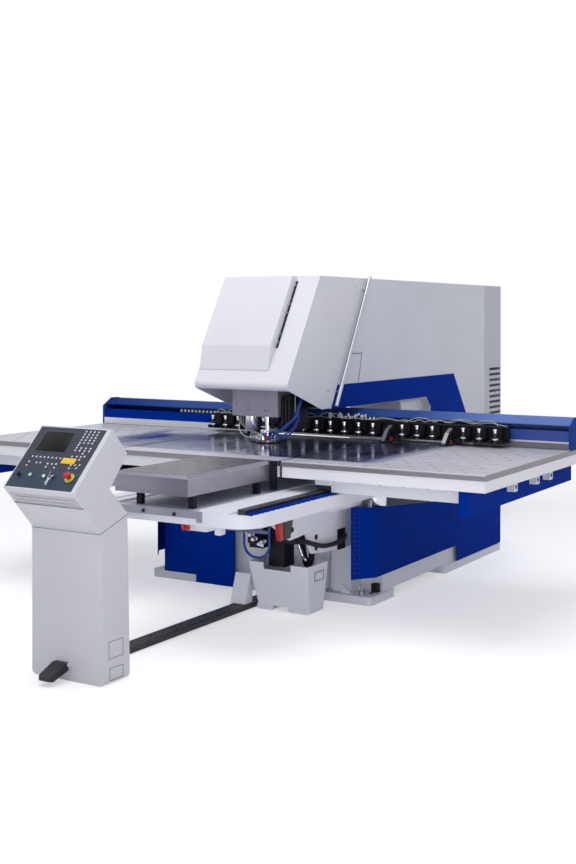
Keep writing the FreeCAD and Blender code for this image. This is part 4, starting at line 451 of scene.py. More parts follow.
# %% Finishes for the solids
FINISHES = (
    (white_coat, "hood front_door"),
    (side_coat, "body_cover side_flap"),
    (console_coat, "console_head console_column"),
    (drawer_coat_with_painted_shade, "keyboard_drawer"),
    (rear_white_coat, "rear_cover"),
    (pale_grey_coat, "base_frame lower_arm chip_bin table_frames duct_cover"),
    (tool_black_coat, "chip_chute valve_blocks table_posts"),
    (inner_grey_coat, "c_frame ram_cylinder"),
    (deep_blue_coat, "base_skirts side_stripes side_beams rail_strips"),
    (beam_face_coat, "cross_beam"),
    (mid_blue_coat, "beam_end_caps"),
    (beam_cover_coat, "beam_cover"),
    (table_plate, "table_right table_left centre_table"),
    (front_table_steel, "front_table"),
    (plate_steel, "platform_plate"),
    (dark_steel, "y_rails"),
    (guide_steel, "guide_strip"),
    (foot_steel, "levelling_feet"),
    (head_steel, "head_block die_holder"),
    (rail_grey, "grab_rail"),
    (pump_finish, "pump"),
    (tool_finish, "magazine_tools"),
    (bright_chrome, "tool_holder ram punch"),
    (collar_steel, "stripper_plate"),
    (clamp_steel, "clamp_jaws"),
    (black_plastic, "cable_duct cable_chain foot_pedal carriages selector_knob"),
    (magazine_plastic, "magazine_rail cartridges clamp_bodies"),
    (dark_panel, "control_panel"),
    (blue_tube, "blue_hoses"),
    (clear_tube, "magazine_hoses"),
    (rubber, "arm_hoses"),
    (red_cap, "e_stop_button"),
    (coupling_finish, "supply_couplings"),
    (green_cap, "green_button"),
    (white_cap, "white_button"),
    (satin_chrome, "key_switch"),
)
bare = set(nodes_of_machine)
for finish, names in FINISHES:
    for name in names.split():
        mesh = nodes_of_machine[name].data
        mesh.materials.clear()
        mesh.materials.append(finish.material)
        bare.remove(name)
print("solids without a finish:", sorted(bare))

# %% [markdown]
# The small fittings are modelled as real meshes. A fitting stands on a seat: a frame of its own with X
# and Y along the surface and Z outwards. Most seats face up, down, to the front, right or left.

# %% Seats
UP, DOWN = ((1, 0, 0), (0, 1, 0)), ((1, 0, 0), (0, -1, 0))
FRONT, RIGHT, LEFT = ((1, 0, 0), (0, 0, 1)), ((0, 1, 0), (0, 0, 1)), ((0, -1, 0), (0, 0, 1))


def square_on(place, along, up):
    """A frame with its own X, Y and Z: along, up and outwards from the surface."""
    side = Vector(along).normalized()
    rise = Vector(up).normalized()
    turn = Matrix((side, rise, side.cross(rise))).transposed().to_4x4()
    return Matrix.Translation(Vector(place)) @ turn


def at(x, y, z, side=UP):
    """A seat at a place, facing one of the five sides."""
    return square_on((x, y, z), *side)


# %% [markdown]
# Three shapes cover most fittings: a block with rounded edges, a turned part, whose profile is spun round
# an axis, and a flat ring. Each helper gives back a function that adds the shape to a mesh under
# construction, so a row of twenty screws is a list of shapes and still a single piece.

# %% Blocks, turned parts and rings
def circle(shape, seat, radius, out, sides, tooth=0.0):
    """A circle of points at a height over the seat; each second one may lie a tooth lower."""
    points = []
    for step in range(sides):
        angle, reach = 2 * math.pi * step / sides, radius - (tooth if step % 2 else 0.0)
        points.append(shape.verts.new(seat @ Vector((reach * math.cos(angle), reach * math.sin(angle), out))))
    return points


def skin(shape, rings, ends=True):
    """Faces between neighbouring rings of points, and a lid at each end."""
    for lower, upper in zip(rings, rings[1:]):
        for step in range(len(lower)):
            after = (step + 1) % len(lower)
            shape.faces.new((lower[step], lower[after], upper[after], upper[step]))
    if ends:
        shape.faces.new(list(reversed(rings[0])))
        shape.faces.new(rings[-1])


def block(size, seat, edge=0.0008):
    """A block standing on its seat, centred there, with rounded edges."""
    def make(shape):
        stand = seat @ Matrix.Translation((0, 0, size[2] / 2)) @ Matrix.Diagonal((*size, 1.0))
        made = bmesh.ops.create_cube(shape, size=1.0, matrix=stand)
        edges = {line for corner in made["verts"] for line in corner.link_edges}
        bmesh.ops.bevel(shape, geom=list(edges), offset=edge, segments=2, profile=0.5, affect="EDGES",
                        clamp_overlap=True)
    return make


def turned(profile, seat, sides=16):
    """A profile spun round the seat's outward axis: (distance out, radius) and, for a wheel, a tooth."""
    return lambda shape: skin(shape, [circle(shape, seat, level[1], level[0], sides, *level[2:])
                                      for level in profile])


def ring(outer, inner, rise, seat, sides=40):
    """A flat ring with an open middle, standing on its seat."""
    def make(shape):
        rings = [circle(shape, seat, radius, out, sides) for out, radius in (
            (0.0, outer), (rise * 0.8, outer), (rise, outer - 0.0006), (rise, inner), (0.0002, inner),
            (0.0, inner + 0.0002))]
        skin(shape, rings + rings[:1], ends=False)
    return make


def screw_head(radius, height):
    """Profile of a cap screw: a cylinder with a rounded rim and a dished middle."""
    return ((0.0, radius), (height * 0.75, radius), (height, radius * 0.85), (height, radius * 0.5),
            (height * 0.6, radius * 0.42), (height * 0.6, radius * 0.01))


def piece(name, finish, parts, body="machine", crease=35.0):
    """Makes one piece from a list of shapes and lets it ride on a body."""
    shape = bmesh.new()
    for make in parts:
        make(shape)
    mesh = bpy.data.meshes.new(name)
    shape.to_mesh(mesh)
    shape.free()
    for polygon in mesh.polygons:
        polygon.use_smooth = True
    mesh.set_sharp_from_angle(angle=math.radians(crease))
    mesh.materials.append(finish.material)
    made = bpy.data.objects.new(name, mesh)
    bpy.context.scene.collection.objects.link(made)
    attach(made, body)
    print(name, "has", len(mesh.polygons), "faces")
    return made


# %% [markdown]
# The console's panel leans back. Places on it are easiest to give as shares: across from its left edge
# and up from its lower edge. Every key, field and ring of the panel then sits in the panel's own frame.

# %% The panel's frame
PANEL_THICK = 0.003
PANEL_FOOT = Vector((PANEL_LOW.x, PANEL_LOW.y, PANEL_LOW.z + 0.7 * PANEL_THICK))
PANEL_RISE = Vector((PANEL_LOW.x, PANEL_HIGH.y - 0.714 * PANEL_THICK, PANEL_HIGH.z)) - PANEL_FOOT
PANEL_MARGIN = 0.02       # share of the panel's recess that its plate leaves free at each end
PANEL_WIDE = PANEL_HIGH.x - PANEL_LOW.x
PANEL_TALL = PANEL_RISE.length / (1 - 2 * PANEL_MARGIN)


def on_panel(across, up):
    """The seat at a place on the panel, from shares of its width and height."""
    place = PANEL_FOOT + PANEL_RISE * ((up - PANEL_MARGIN) / (1 - 2 * PANEL_MARGIN))
    place.x = PANEL_LOW.x + across * PANEL_WIDE
    return square_on(place, (1, 0, 0), PANEL_RISE)


print("panel", round(PANEL_WIDE, 3), "by", round(PANEL_TALL, 3))

# %% [markdown]
# The screen is a flat dark glass in a raised frame. Four bars make the frame and one thin block the glass,
# which lies a little lower than the frame, as behind a gasket.

# %% Screen
LEFT_EDGE, RIGHT_EDGE, LOW_EDGE, TOP_EDGE = 0.12, 0.58, 0.58, 0.91     # shares of the panel
FRAME_BAR = 0.007
FRAME_RISE = 0.0022
middle_x, middle_y = (LEFT_EDGE + RIGHT_EDGE) / 2, (LOW_EDGE + TOP_EDGE) / 2
wide, tall = (RIGHT_EDGE - LEFT_EDGE) * PANEL_WIDE, (TOP_EDGE - LOW_EDGE) * PANEL_TALL
piece("screen_frame", smoke_plastic,
      [block((wide + FRAME_BAR, FRAME_BAR, FRAME_RISE), on_panel(middle_x, up))
       for up in (LOW_EDGE, TOP_EDGE)]
      + [block((FRAME_BAR, tall + FRAME_BAR, FRAME_RISE), on_panel(across, middle_y))
         for across in (LEFT_EDGE, RIGHT_EDGE)])
piece("screen_glass", screen_dark,
      [block((wide, tall, 0.0009), on_panel(middle_x, middle_y), 0.0003)])

# %% [markdown]
# The keys are white caps in rows and blocks: eight soft keys under the screen, a block of keys at the
# right and a few single ones. A table of the blocks, with their columns and rows, is shorter than a list
# of eighty places. Each cap is about a centimetre wide, with rounded edges that catch the light.

# %% Keys
KEY_CAP = (0.0105, 0.0105, 0.0018)
SINGLE_KEYS = ((0.85, 0.595), (0.72, 0.54), (0.90, 0.555), (0.79, 0.545), (0.85, 0.545), (0.85, 0.50),
               (0.136, 0.415), (0.132, 0.355), (0.256, 0.408), (0.311, 0.413), (0.429, 0.406),
               (0.495, 0.404), (0.556, 0.409), (0.429, 0.355), (0.558, 0.351), (0.776, 0.41),
               (0.84, 0.415), (0.776, 0.36), (0.90, 0.42), (0.88, 0.37))


KEY_BLOCKS = (     # left, top, columns, rows, step to the right, step down
    (0.14, 0.50, 8, 1, 0.061, 0),
    (0.715, 0.94, 4, 5, 0.062, 0.045),
    (0.713, 0.94 - 5 * 0.043, 1, 3, 0, 0.043),
    (0.78, 0.68, 3, 2, 0.07, 0.042),
)
spots = [(left + right * column, top - down * row) for left, top, columns, rows, right, down in KEY_BLOCKS
         for row in range(rows) for column in range(columns)]
piece("panel_keys", key_cap,
      [block(KEY_CAP, on_panel(*spot), 0.0007) for spot in (*spots, *SINGLE_KEYS)])

# %% [markdown]
# A plain yellow field and a yellow-green ring round the emergency stop are foils of a fraction of a
# millimetre. They are given a little thickness, so that their edges catch the light as foil does. Each
# button stands in a dark collar.

# %% Foils and collars
FIELD_MIDDLE = (0.71, 0.4675)
FIELD_SIZE = (0.20 * PANEL_WIDE, 0.085 * PANEL_TALL, 0.0022)
STOP_PLACE = (0.865, 0.22)
BUTTONS = ((0.11, 0.205), (0.28, 0.215), (0.49, 0.21), (0.62, 0.22))
piece("plain_yellow_field", yellow_foil,
      [block(FIELD_SIZE, on_panel(*FIELD_MIDDLE), 0.0002)])
piece("stop_ring", ring_foil, [ring(0.030, 0.0125, 0.0025, on_panel(*STOP_PLACE))])
piece("button_collars", dark_steel,
      [ring(0.0155, 0.0112, 0.003, on_panel(*spot), 28) for spot in BUTTONS])

# %% [markdown]
# Low on the console's right side are two shallow vent fields, which read as fine dark outlines. The
# console's head is a box of its own that sits on the column, so a fine seam runs across the front and
# climbs along the side. It stops where the sheet's corners start to round.

# %% Vents and seam of the console
COLUMN_LOW, COLUMN_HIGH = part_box("console_column")
VENTS = ((-3.536, -3.415, 0.142, 0.236), (-3.530, -3.415, 0.022, 0.088))     # front, back, bottom, top
OUTLINE, VENT_PROUD, SEAM_PROUD = 0.003, 0.0016, 0.0012
SEAM_SHORT = 0.013                                            # left out at the rounded corners
HEAD_FOOT = Vector((COLUMN_HIGH.x, COLUMN_LOW.y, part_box("console_head")[0].z))
bars = []
for front, back, bottom, top in VENTS:
    bars += [block((back - front, OUTLINE, VENT_PROUD), at(COLUMN_HIGH.x, (front + back) / 2, z, RIGHT))
             for z in (bottom, top)]
    bars += [block((OUTLINE, top - bottom, VENT_PROUD), at(COLUMN_HIGH.x, y, (bottom + top) / 2, RIGHT))
             for y in (front, back)]
piece("console_vents", seam_grey, bars)

climb = COLUMN_HIGH - HEAD_FOOT
climb *= 1 - SEAM_SHORT / climb.length
left = COLUMN_LOW.x + SEAM_SHORT
piece("console_seam", seam_grey, [
    block((climb.length, OUTLINE, SEAM_PROUD),
          square_on(HEAD_FOOT + climb / 2, climb, (0, -climb.z, climb.y)), 0.0003),
    block((COLUMN_HIGH.x - left, OUTLINE, SEAM_PROUD),
          at((left + COLUMN_HIGH.x) / 2, HEAD_FOOT.y, HEAD_FOOT.z - OUTLINE / 2, FRONT), 0.0003)])

# %% [markdown]
# The table plates are set with short dark inlays in staggered rows, which carry the sheet without
# scratching it. Each is a flat oblong that stands half a millimetre proud. The polished middle has none.

# %% Inlays of the tables
INLAY_LONG, INLAY_WIDE, INLAY_RISE = 0.034, 0.011, 0.0006
STEP_X, STEP_Y = 0.17, 0.125
CORNERS = 12
TABLE_INLAYS = (("table_right", "y_carriage", 0.09, 0.06), ("table_left", "y_carriage", 0.09, 0.06),
                ("front_table", "machine", 0.07, 0.07))


def inlay(x, y, z):
    """A flat oblong with round ends."""
    outline = []
    for step in range(CORNERS):
        angle = 2 * math.pi * (step + 0.5) / CORNERS
        shift = math.copysign((INLAY_LONG - INLAY_WIDE) / 2, math.cos(angle))
        outline.append((shift + INLAY_WIDE / 2 * math.cos(angle), INLAY_WIDE / 2 * math.sin(angle)))
    return lambda shape: skin(shape, [[shape.verts.new((x + u * long, y + v * broad, z + rise))
                                       for u, v in outline]
                                      for long, broad, rise in ((1, 1, 0), (0.94, 0.9, INLAY_RISE))])


for node, body, margin_x, margin_y in TABLE_INLAYS:
    low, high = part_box(node)
    spots = []
    for row in range(int((high.y - low.y - 2 * margin_y) / STEP_Y) + 1):
        for column in range(int((high.x - low.x - 2 * margin_x) / STEP_X) + 1):
            x = low.x + margin_x + (column + (row % 2) / 2) * STEP_X
            y = low.y + margin_y + row * STEP_Y
            polished = abs(x) < POLISHED_X + 0.03 and POLISHED_Y[0] - 0.03 < y < POLISHED_Y[1] + 0.03
            if x < high.x - margin_x and not polished:
                spots.append(inlay(x, y, high.z))
    piece(node + "_inlays", smoke_plastic, spots, body)

# %% [markdown]
# The cable duct on the floor has a tread plate on it: dark, with staggered rows of raised rings that
# stop a foot from slipping. Rings in a loop make it, from the console's end to the machine's foot.

# %% Tread on the cable duct
DUCT_LOW, DUCT_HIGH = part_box("cable_duct")
TREAD_STEP, TREAD_ROWS = 0.034, 3
TREAD_FROM, TREAD_TO = DUCT_LOW.y + 0.03, -1.73
piece("duct_tread", tread_grey, [
    ring(0.0095, 0.0055, 0.0022,
         at(DUCT_LOW.x + (DUCT_HIGH.x - DUCT_LOW.x) * (row + 0.75 + 0.25 * (n % 2)) / (TREAD_ROWS + 1),
            TREAD_FROM + n * TREAD_STEP, DUCT_HIGH.z), 10)
    for n in range(int((TREAD_TO - TREAD_FROM) / TREAD_STEP)) for row in range(TREAD_ROWS)])

# %% [markdown]
# The skirt's front edge is a folded strip with two rows of small screws. The strip follows the fold, so
# its frame is turned to the fold's own direction before the screws are set in it.

# %% Screwed strip on the skirt
FOLD_FRONT, FOLD_BACK = Vector((0.850, -1.257, 0)), Vector((0.965, -1.090, 0))
STRIP_FOOT, STRIP_HEAD, STRIP_WIDE, STRIP_THICK = 0.215, 0.675, 0.070, 0.0015
SCREW_ROWS, SCREW_SHIFT = 14, 0.006
fold = (FOLD_BACK - FOLD_FRONT).normalized()
out = Vector((fold.y, -fold.x, 0))
middle = FOLD_FRONT + fold * (STRIP_WIDE / 2 + 0.006) + out * 0.0002
middle.z = (STRIP_FOOT + STRIP_HEAD) / 2
piece("skirt_strip", deep_blue_coat,
      [block((STRIP_WIDE, STRIP_HEAD - STRIP_FOOT, STRIP_THICK), square_on(middle, fold, (0, 0, 1)))])
screws = []
for row in range(SCREW_ROWS):
    z = STRIP_FOOT + 0.02 + row * (STRIP_HEAD - STRIP_FOOT - 0.04) / (SCREW_ROWS - 1)
    for across in (-0.018, 0.018):
        place = middle + fold * (across + (SCREW_SHIFT if row % 2 else 0.0)) + out * STRIP_THICK
        screws.append(turned(screw_head(0.0055, 0.003),
                             square_on((place.x, place.y, z), fold, (0, 0, 1)), 10))
piece("skirt_strip_screws", dark_steel, screws)

# %% [markdown]
# Beside the hood's door runs a grip slot, deep enough for fingers. Seen from outside its inside lies in
# shade, so a thin dark inlay on the hood paints that shade, and some turned fittings stand in it as latches.

# %% Grip slot of the door
HOOD_NOSE, HOOD_BROW = Vector((0.0, -1.405, 1.520)), Vector((0.0, -0.915, 2.345))
HOOD_RISE = HOOD_BROW - HOOD_NOSE
SLOT_WIDE, SLOT_FOOT, SLOT_HEAD = 0.022, 0.345, 0.955
SLOT_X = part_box("front_door")[1].x + 0.002 + SLOT_WIDE / 2
LATCH = ((0, 0.007), (0.010, 0.007), (0.012, 0.005), (0.018, 0.004), (0.020, 0.001))


def on_hood(x, share):
    """The seat at a place on the hood's slanted face."""
    place = HOOD_NOSE.lerp(HOOD_BROW, share)
    return square_on((x, place.y, place.z), (1, 0, 0), HOOD_RISE)


length = (SLOT_HEAD - SLOT_FOOT) * HOOD_RISE.length
halfway = (SLOT_HEAD + SLOT_FOOT) / 2
print("grip slot is", round(length, 3), "m long")
# Painted shade: the dark inlay stands for the shade inside the grip slot.
piece("door_grip_slot_shade", tool_black_coat,
      [block((SLOT_WIDE, length, 0.0012), on_hood(SLOT_X, halfway), 0.0004)])
piece("door_grip_lip", white_coat,
      [block((SLOT_WIDE + 0.006, 0.006, 0.004), on_hood(SLOT_X, share)) for share in (SLOT_FOOT, SLOT_HEAD)]
      + [block((0.003, length, 0.006), on_hood(SLOT_X + SLOT_WIDE / 2 + 0.002, halfway))])
piece("door_latch_fittings", satin_chrome,
      [turned(LATCH, on_hood(SLOT_X - 0.002, share), 12) for share in (0.40, 0.47, 0.66, 0.74, 0.91)])

# %% [markdown]
# Under the head a bright cup surrounds the thick guide rod, and a black toothed wheel sits on the thin
# one and turns the tool. A toothed wheel is a turned part whose radius changes from step to step.

# %% Cup and toothed wheel under the head
HEAD_FOOT_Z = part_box("head_block")[0].z
PUNCH_Y = -1.0
CUP_AT, CUP_R, CUP_DEEP = -0.146, 0.048, 0.131
CUP = ((0.0, 0.034), (0.002, 0.042), (0.008, CUP_R - 0.002), (0.100, CUP_R - 0.002), (0.102, CUP_R + 0.004),
       (0.118, CUP_R + 0.004), (0.120, CUP_R), (CUP_DEEP, CUP_R))
WHEEL_AT, WHEEL_R, WHEEL_TEETH, WHEEL_DROP = 0.082, 0.054, 32, 0.094
WHEEL = ((0.0, WHEEL_R - 0.010), (0.004, WHEEL_R - 0.004, 0.004), (0.040, WHEEL_R - 0.004, 0.004),
         (0.041, WHEEL_R), (0.048, WHEEL_R), (0.049, WHEEL_R - 0.014), (0.092, WHEEL_R - 0.014))
piece("guide_cup", bright_chrome,
      [turned(CUP, at(CUP_AT, PUNCH_Y, HEAD_FOOT_Z - CUP_DEEP), 40)])
piece("tool_turning_wheel", tool_black_coat,
      [turned(WHEEL, at(WHEEL_AT, PUNCH_Y, HEAD_FOOT_Z - WHEEL_DROP), WHEEL_TEETH * 2)])

# %% [markdown]
# Hoses are smooth curves with a round section, drawn with a few control points. Such a curve stays
# inside its points, so a hose never swings wider than it was drawn, and it can tell its own length.


# %% Thin hoses and wires
def thin_hose(name, points, radius, finish, body="machine"):
    """A round hose along a smooth line through control points."""
    line = bpy.data.curves.new(name, "CURVE")
    line.dimensions = "3D"
    line.bevel_depth = radius
    line.bevel_resolution = 3
    line.resolution_u = 10
    line.use_fill_caps = True
    spline = line.splines.new("NURBS")
    spline.points.add(len(points) - 1)
    for point, place in zip(spline.points, points):
        point.co = (*place, 1.0)
    spline.order_u = 3
    spline.use_endpoint_u = True
    print(name, "is", round(spline.calc_length(), 3), "m long")
    line.materials.append(finish.material)
    hose = bpy.data.objects.new(name, line)
    bpy.context.scene.collection.objects.link(hose)
    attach(hose, body)
    return hose


# %% [markdown]
# The stripper ring carries a crowd of small spray fittings. Each is a hexagon with a collar, and four of
# them send a thin wire up to the head. Two blue hoses and two thin ones come down beside the block.

# %% Spray fittings and their hoses
RING_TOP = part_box("stripper_plate")[0].z + 0.016
ORBIT = 0.076
FITTING_TURNS = (-160, -135, -112, -88, -40, -18)
CAP_TURN = -62
FITTING = ((0, 0.009), (0.008, 0.009), (0.009, 0.007), (0.022, 0.007), (0.024, 0.010), (0.034, 0.010),
           (0.036, 0.006))
HEAD_HOSES = (
    ("spray_hose", 0.0055, blue_tube, "blue_hose",
     ((0.300, -1.075, 1.36), (0.345, -1.10, 1.35), (0.34, -1.17, 1.23), (0.25, -1.20, 1.16),
      (0.16, -1.16, 1.18), (0.10, -1.06, 1.19), (0.073, -1.030, 1.15), (0.072, -1.024, 1.135))),
    ("spray_hose_low", 0.0055, blue_tube, "blue_hose",
     ((0.300, -1.04, 1.30), (0.33, -1.08, 1.29), (0.31, -1.18, 1.17), (0.20, -1.21, 1.14),
      (0.10, -1.14, 1.145), (0.02, -1.10, 1.16), (0.003, -1.076, 1.16), (0.003, -1.076, 1.145))),
    ("valve_hose", 0.003, clear_tube, "white_plastic",
     ((0.300, -1.10, 1.306), (0.318, -1.12, 1.302), (0.330, -1.15, 1.33), (0.334, -1.16, 1.42),
      (0.335, -1.16, 1.48))),
    ("head_hose", 0.0038, white_cap, "white_plastic",
     ((-0.166, -1.11, HEAD_FOOT_Z), (-0.172, -1.125, 1.24), (-0.176, -1.135, 1.19), (-0.120, -1.15, 1.14),
      (-0.070, -1.11, 1.13), (-0.052, -1.05, 1.135), (-0.045, -1.05, 1.12))),
)


def heading(turn):
    """A level direction, from its turn in degrees."""
    return Vector((math.cos(math.radians(turn)), math.sin(math.radians(turn)), 0))


def on_orbit(turn):
    """A place on the stripper's circle of fittings."""
    return Vector((0, PUNCH_Y, RING_TOP)) + heading(turn) * ORBIT


piece("spray_fittings", bright_chrome,
      [turned(FITTING, square_on(on_orbit(turn), heading(turn), heading(turn + 90)), 6)
       for turn in FITTING_TURNS])
piece("spray_valve_cap", red_cap,
      [block((0.028, 0.020, 0.024), at(*on_orbit(CAP_TURN)), 0.002)])
for number, turn in enumerate(FITTING_TURNS[:4]):
    start = on_orbit(turn) + Vector((0, 0, 0.030))
    top = Vector((CUP_AT - 0.035 + 0.022 * number, PUNCH_Y - 0.13, HEAD_FOOT_Z))
    middle = (start + top) / 2 + Vector((-0.02 - 0.012 * number, -0.05, -0.012 * number))
    bends = (start, start + Vector((0, 0, 0.02)), middle, top - Vector((0, 0, 0.03)), top)
    thin_hose("spray_wire_" + str(number), bends, 0.0028, clear_tube)
for name, radius, finish, slot, points in HEAD_HOSES:
    thin_hose(name, points, radius, finish)

# %% [markdown]
# At the left of the ring stands a loose bunch of short bent pipes. Seeded chance bends each a little
# differently, and every run gives the same bunch.

# %% Bunch of bent pipes
SPRAY_SEED = 5
SPRAY_PIPES = 14
chance = random.Random(SPRAY_SEED)
for number in range(SPRAY_PIPES):
    turn = -172 + number * 100 / SPRAY_PIPES
    seat = on_orbit(turn)
    away = heading(turn) * chance.uniform(0.006, 0.028)
    rise = Vector((0, 0, chance.uniform(0.024, 0.052)))
    across = Vector((chance.uniform(-0.045, 0.045), chance.uniform(-0.016, 0.004), 0))
    bends = (seat, seat + rise * 0.7 + away * 0.3, seat + rise + away + across * 0.5,
             seat + rise * 0.8 + away + across, seat + rise * 0.25 + away * 1.2 + across)
    thin_hose("spray_pipe_" + str(number), bends, 0.0034, white_cap if number % 2 else satin_chrome)

# %% [markdown]
# Along the magazine thin pale hoses run from station to station in loose arcs, each a little different
# from the next. The arcs are drawn with seeded chance, so every run gives the same hoses. They stand for
# the plain regular hose of the solids.

# %% Loose hoses along the magazine
MAG_LOW, MAG_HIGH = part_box("magazine_rail")
STATION_STEP = 0.1235
HOSE_SEED = 21
STRANDS = ((0.005, 0.36), (0.355, 0.69), (0.68, 0.995), (0.03, 0.52), (0.47, 0.97))     # shares of the rail
MAG_PLUGS = 26
PLUG = ((-0.012, 0.004), (-0.006, 0.006), (0, 0.008), (0.008, 0.008), (0.010, 0.005))
chance = random.Random(HOSE_SEED)


def arcs(start, end, depth):
    """Loose arcs from one end of a strand to the other."""
    points = [Vector((start, depth, MAG_HIGH.z + 0.004))]
    x = start + 0.02
    while x < end - 0.10:
        span = STATION_STEP * chance.uniform(0.6, 2.2)
        lift = chance.uniform(0.008, 0.050)
        sway = chance.uniform(-0.020, 0.014)
        points.append(Vector((x, depth, MAG_HIGH.z + 0.006)))
        points.append(Vector((x + span * 0.3, depth + sway, MAG_HIGH.z + lift)))
        points.append(Vector((x + span * 0.7, depth + sway, MAG_HIGH.z + lift * chance.uniform(0.7, 1.0))))
        x += span
    return points + [Vector((end, depth, MAG_HIGH.z + 0.004))]


def plug():
    """A small plug that leans its own way."""
    place = Vector((chance.uniform(0.20, 0.62), chance.uniform(MAG_LOW.y + 0.03, MAG_LOW.y + 0.11),
                    MAG_HIGH.z + chance.uniform(0.012, 0.044)))
    lean = Vector((chance.uniform(-0.4, 0.4), chance.uniform(-0.4, 0.4), 1))
    return turned(PLUG, square_on(place, lean.cross((0, 1, 0)), (0, 1, 0)), 8)


for number, shares in enumerate(STRANDS):
    start, end = (MAG_LOW.x + share * (MAG_HIGH.x - MAG_LOW.x) for share in shares)
    strand = thin_hose("magazine_line_" + str(number),
                       arcs(start, end, MAG_LOW.y + 0.070 + 0.012 * (number % 3)), 0.0032, clear_tube,
                       "x_carriage")
    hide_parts("magazine_hoses")
piece("magazine_plugs", key_cap, [plug() for number in range(MAG_PLUGS)], "x_carriage")
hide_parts("magazine_hoses")

# %% [markdown]
# The energy chain on the beam shows a row of pale pins, one in each link. The carriage it serves moves,
# so the pins ride on the same body as the chain.

# %% Pins of the energy chain
CHAIN_LOW, CHAIN_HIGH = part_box("cable_chain")
CHAIN_PINS = 24
link = (CHAIN_HIGH.x - CHAIN_LOW.x) / CHAIN_PINS
piece("chain_pins", key_cap,
      [ring(0.0095, 0.0045, 0.002,
            at(CHAIN_LOW.x + (n + 0.5) * link, CHAIN_LOW.y, (CHAIN_LOW.z + CHAIN_HIGH.z) / 2, FRONT), 16)
       for n in range(CHAIN_PINS)], "y_carriage")

# %% [markdown]
# Between the bulkhead and the skirt, the front foot plate carries a welded gusset, a clamp bracket and a
# black rubber stop. They are small, yet they break the bare corner up as on the real machine.

# %% Fittings on the front foot plate
FOOT_TOP = 0.060
GUSSET_X, GUSSET_Y, GUSSET_RISE = (0.700, 0.790, 0.712), (-1.130, -1.110), 0.055
GUSSET_EDGE = 0.002


def gusset(shape):
    """A wedge that is broad at its foot and narrow on top."""
    left, foot, head = GUSSET_X
    front, back = GUSSET_Y
    skin(shape, [[shape.verts.new((x, y, z))
                  for x, y in ((left, front), (right, front), (right, back), (left, back))]
                 for right, z in ((foot, FOOT_TOP), (head, FOOT_TOP + GUSSET_RISE))])
    bmesh.ops.bevel(shape, geom=list(shape.edges), offset=GUSSET_EDGE, segments=2, affect="EDGES")


piece("foot_gussets", pale_grey_coat,
      [gusset, block((0.036, 0.012, 0.050), at(0.818, -1.045, FOOT_TOP), 0.002),
       block((0.036, 0.050, 0.010), at(0.818, -1.065, FOOT_TOP), 0.002)])
piece("foot_rubber_stops", rubber,
      [block((0.052, 0.050, 0.062), at(0.905, -0.985, FOOT_TOP), 0.004),
       block((0.030, 0.030, 0.014), at(0.738, -1.060, FOOT_TOP), 0.003)])
piece("foot_bolts", dark_steel,
      [turned(screw_head(0.012, 0.012), at(x, y, FOOT_TOP), 12)
       for x, y in ((0.818, -1.078), (-0.860, -1.05), (0.905, -1.05))])

# %% [markdown]
# The chip bin has a folded handle on its right side. The side leans outwards, so the handle's frame leans
# with it: its up direction is worked out from the bin's draft.

# %% Handle of the chip bin
BIN_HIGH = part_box("chip_bin")[1]
BIN_LEAN = 0.0165
BIN_FOOT = 0.036
BIN_MIDDLE = -1.513
RIM_BAR = 0.004


def on_bin(y, z):
    """The seat at a place on the bin's leaning side."""
    tall = BIN_HIGH.z - BIN_FOOT
    x = BIN_HIGH.x - BIN_LEAN * (1 - (z - BIN_FOOT) / tall)
    return square_on((x, y, z), (0, 1, 0), (BIN_LEAN, 0.0, tall))


piece("bin_handle_rim", seam_grey,
      [block((0.124, RIM_BAR, RIM_BAR), on_bin(BIN_MIDDLE, z)) for z in (0.226, 0.288)]
      + [block((RIM_BAR, 0.060, RIM_BAR), on_bin(BIN_MIDDLE + y, 0.257)) for y in (-0.060, 0.060)])
piece("bin_handle", pale_grey_coat,
      [block((0.096, 0.012, 0.010), on_bin(BIN_MIDDLE, 0.272), 0.003)])

# %% [markdown]
# Under the platform's front edge hang two sheet trays for the hoses, a bar on two posts and two red
# plugs. Under the front apron of the right table the ends of the fixing screws show as a row of bright
# dots. All of them hang down, so they are drawn from the underside.

# %% Small parts under the platform and the apron
ARM_UNDERSIDE = 0.800
SCREW_ENDS, SCREW_MARGIN = 9, 0.06
RED_PLUG = ((0, 0.013), (0.046, 0.013), (0.056, 0.009), (0.058, 0.003))
SCREW_END = ((0, 0.005), (0.006, 0.005), (0.007, 0.003))


def hanging(x, y, size, edge=0.005):
    """A block that hangs from the platform's underside."""
    return block(size, at(x, y, ARM_UNDERSIDE, DOWN), edge)


piece("hose_trays", pale_grey_coat,
      [hanging(0.598, -2.70, (0.150, 0.110, 0.066), 0.012),
       hanging(0.660, -2.60, (0.050, 0.060, 0.105), 0.010)])
piece("hose_bar", shade_blue_coat,
      [hanging(x, -2.56, (0.022, 0.030, 0.060)) for x in (0.640, 0.930)]
      + [block((0.400, 0.024, 0.018), at(0.780, -2.56, 0.742, DOWN), 0.003)])
piece("red_plugs", red_cap,
      [turned(RED_PLUG, at(x, -2.80, ARM_UNDERSIDE, DOWN)) for x in (0.530, 0.562)])
low, high = TABLE_BOX
step = (high.x - low.x - 2 * SCREW_MARGIN) / (SCREW_ENDS - 1)
piece("apron_screw_ends", clamp_steel,
      [turned(SCREW_END, at(low.x + SCREW_MARGIN + n * step, low.y + 0.024, low.z, DOWN), 8)
       for n in range(SCREW_ENDS)], "y_carriage")

# %% [markdown]
# A ribbed hose is a row of rings along a smooth curve, each second one a bit wider. Beside the chip tube
# one makes a loop, and a thin bright one hangs in front of it. The curve starts halfway between its first
# two points and ends halfway between its last two, so a hose is shorter than the line of its points.


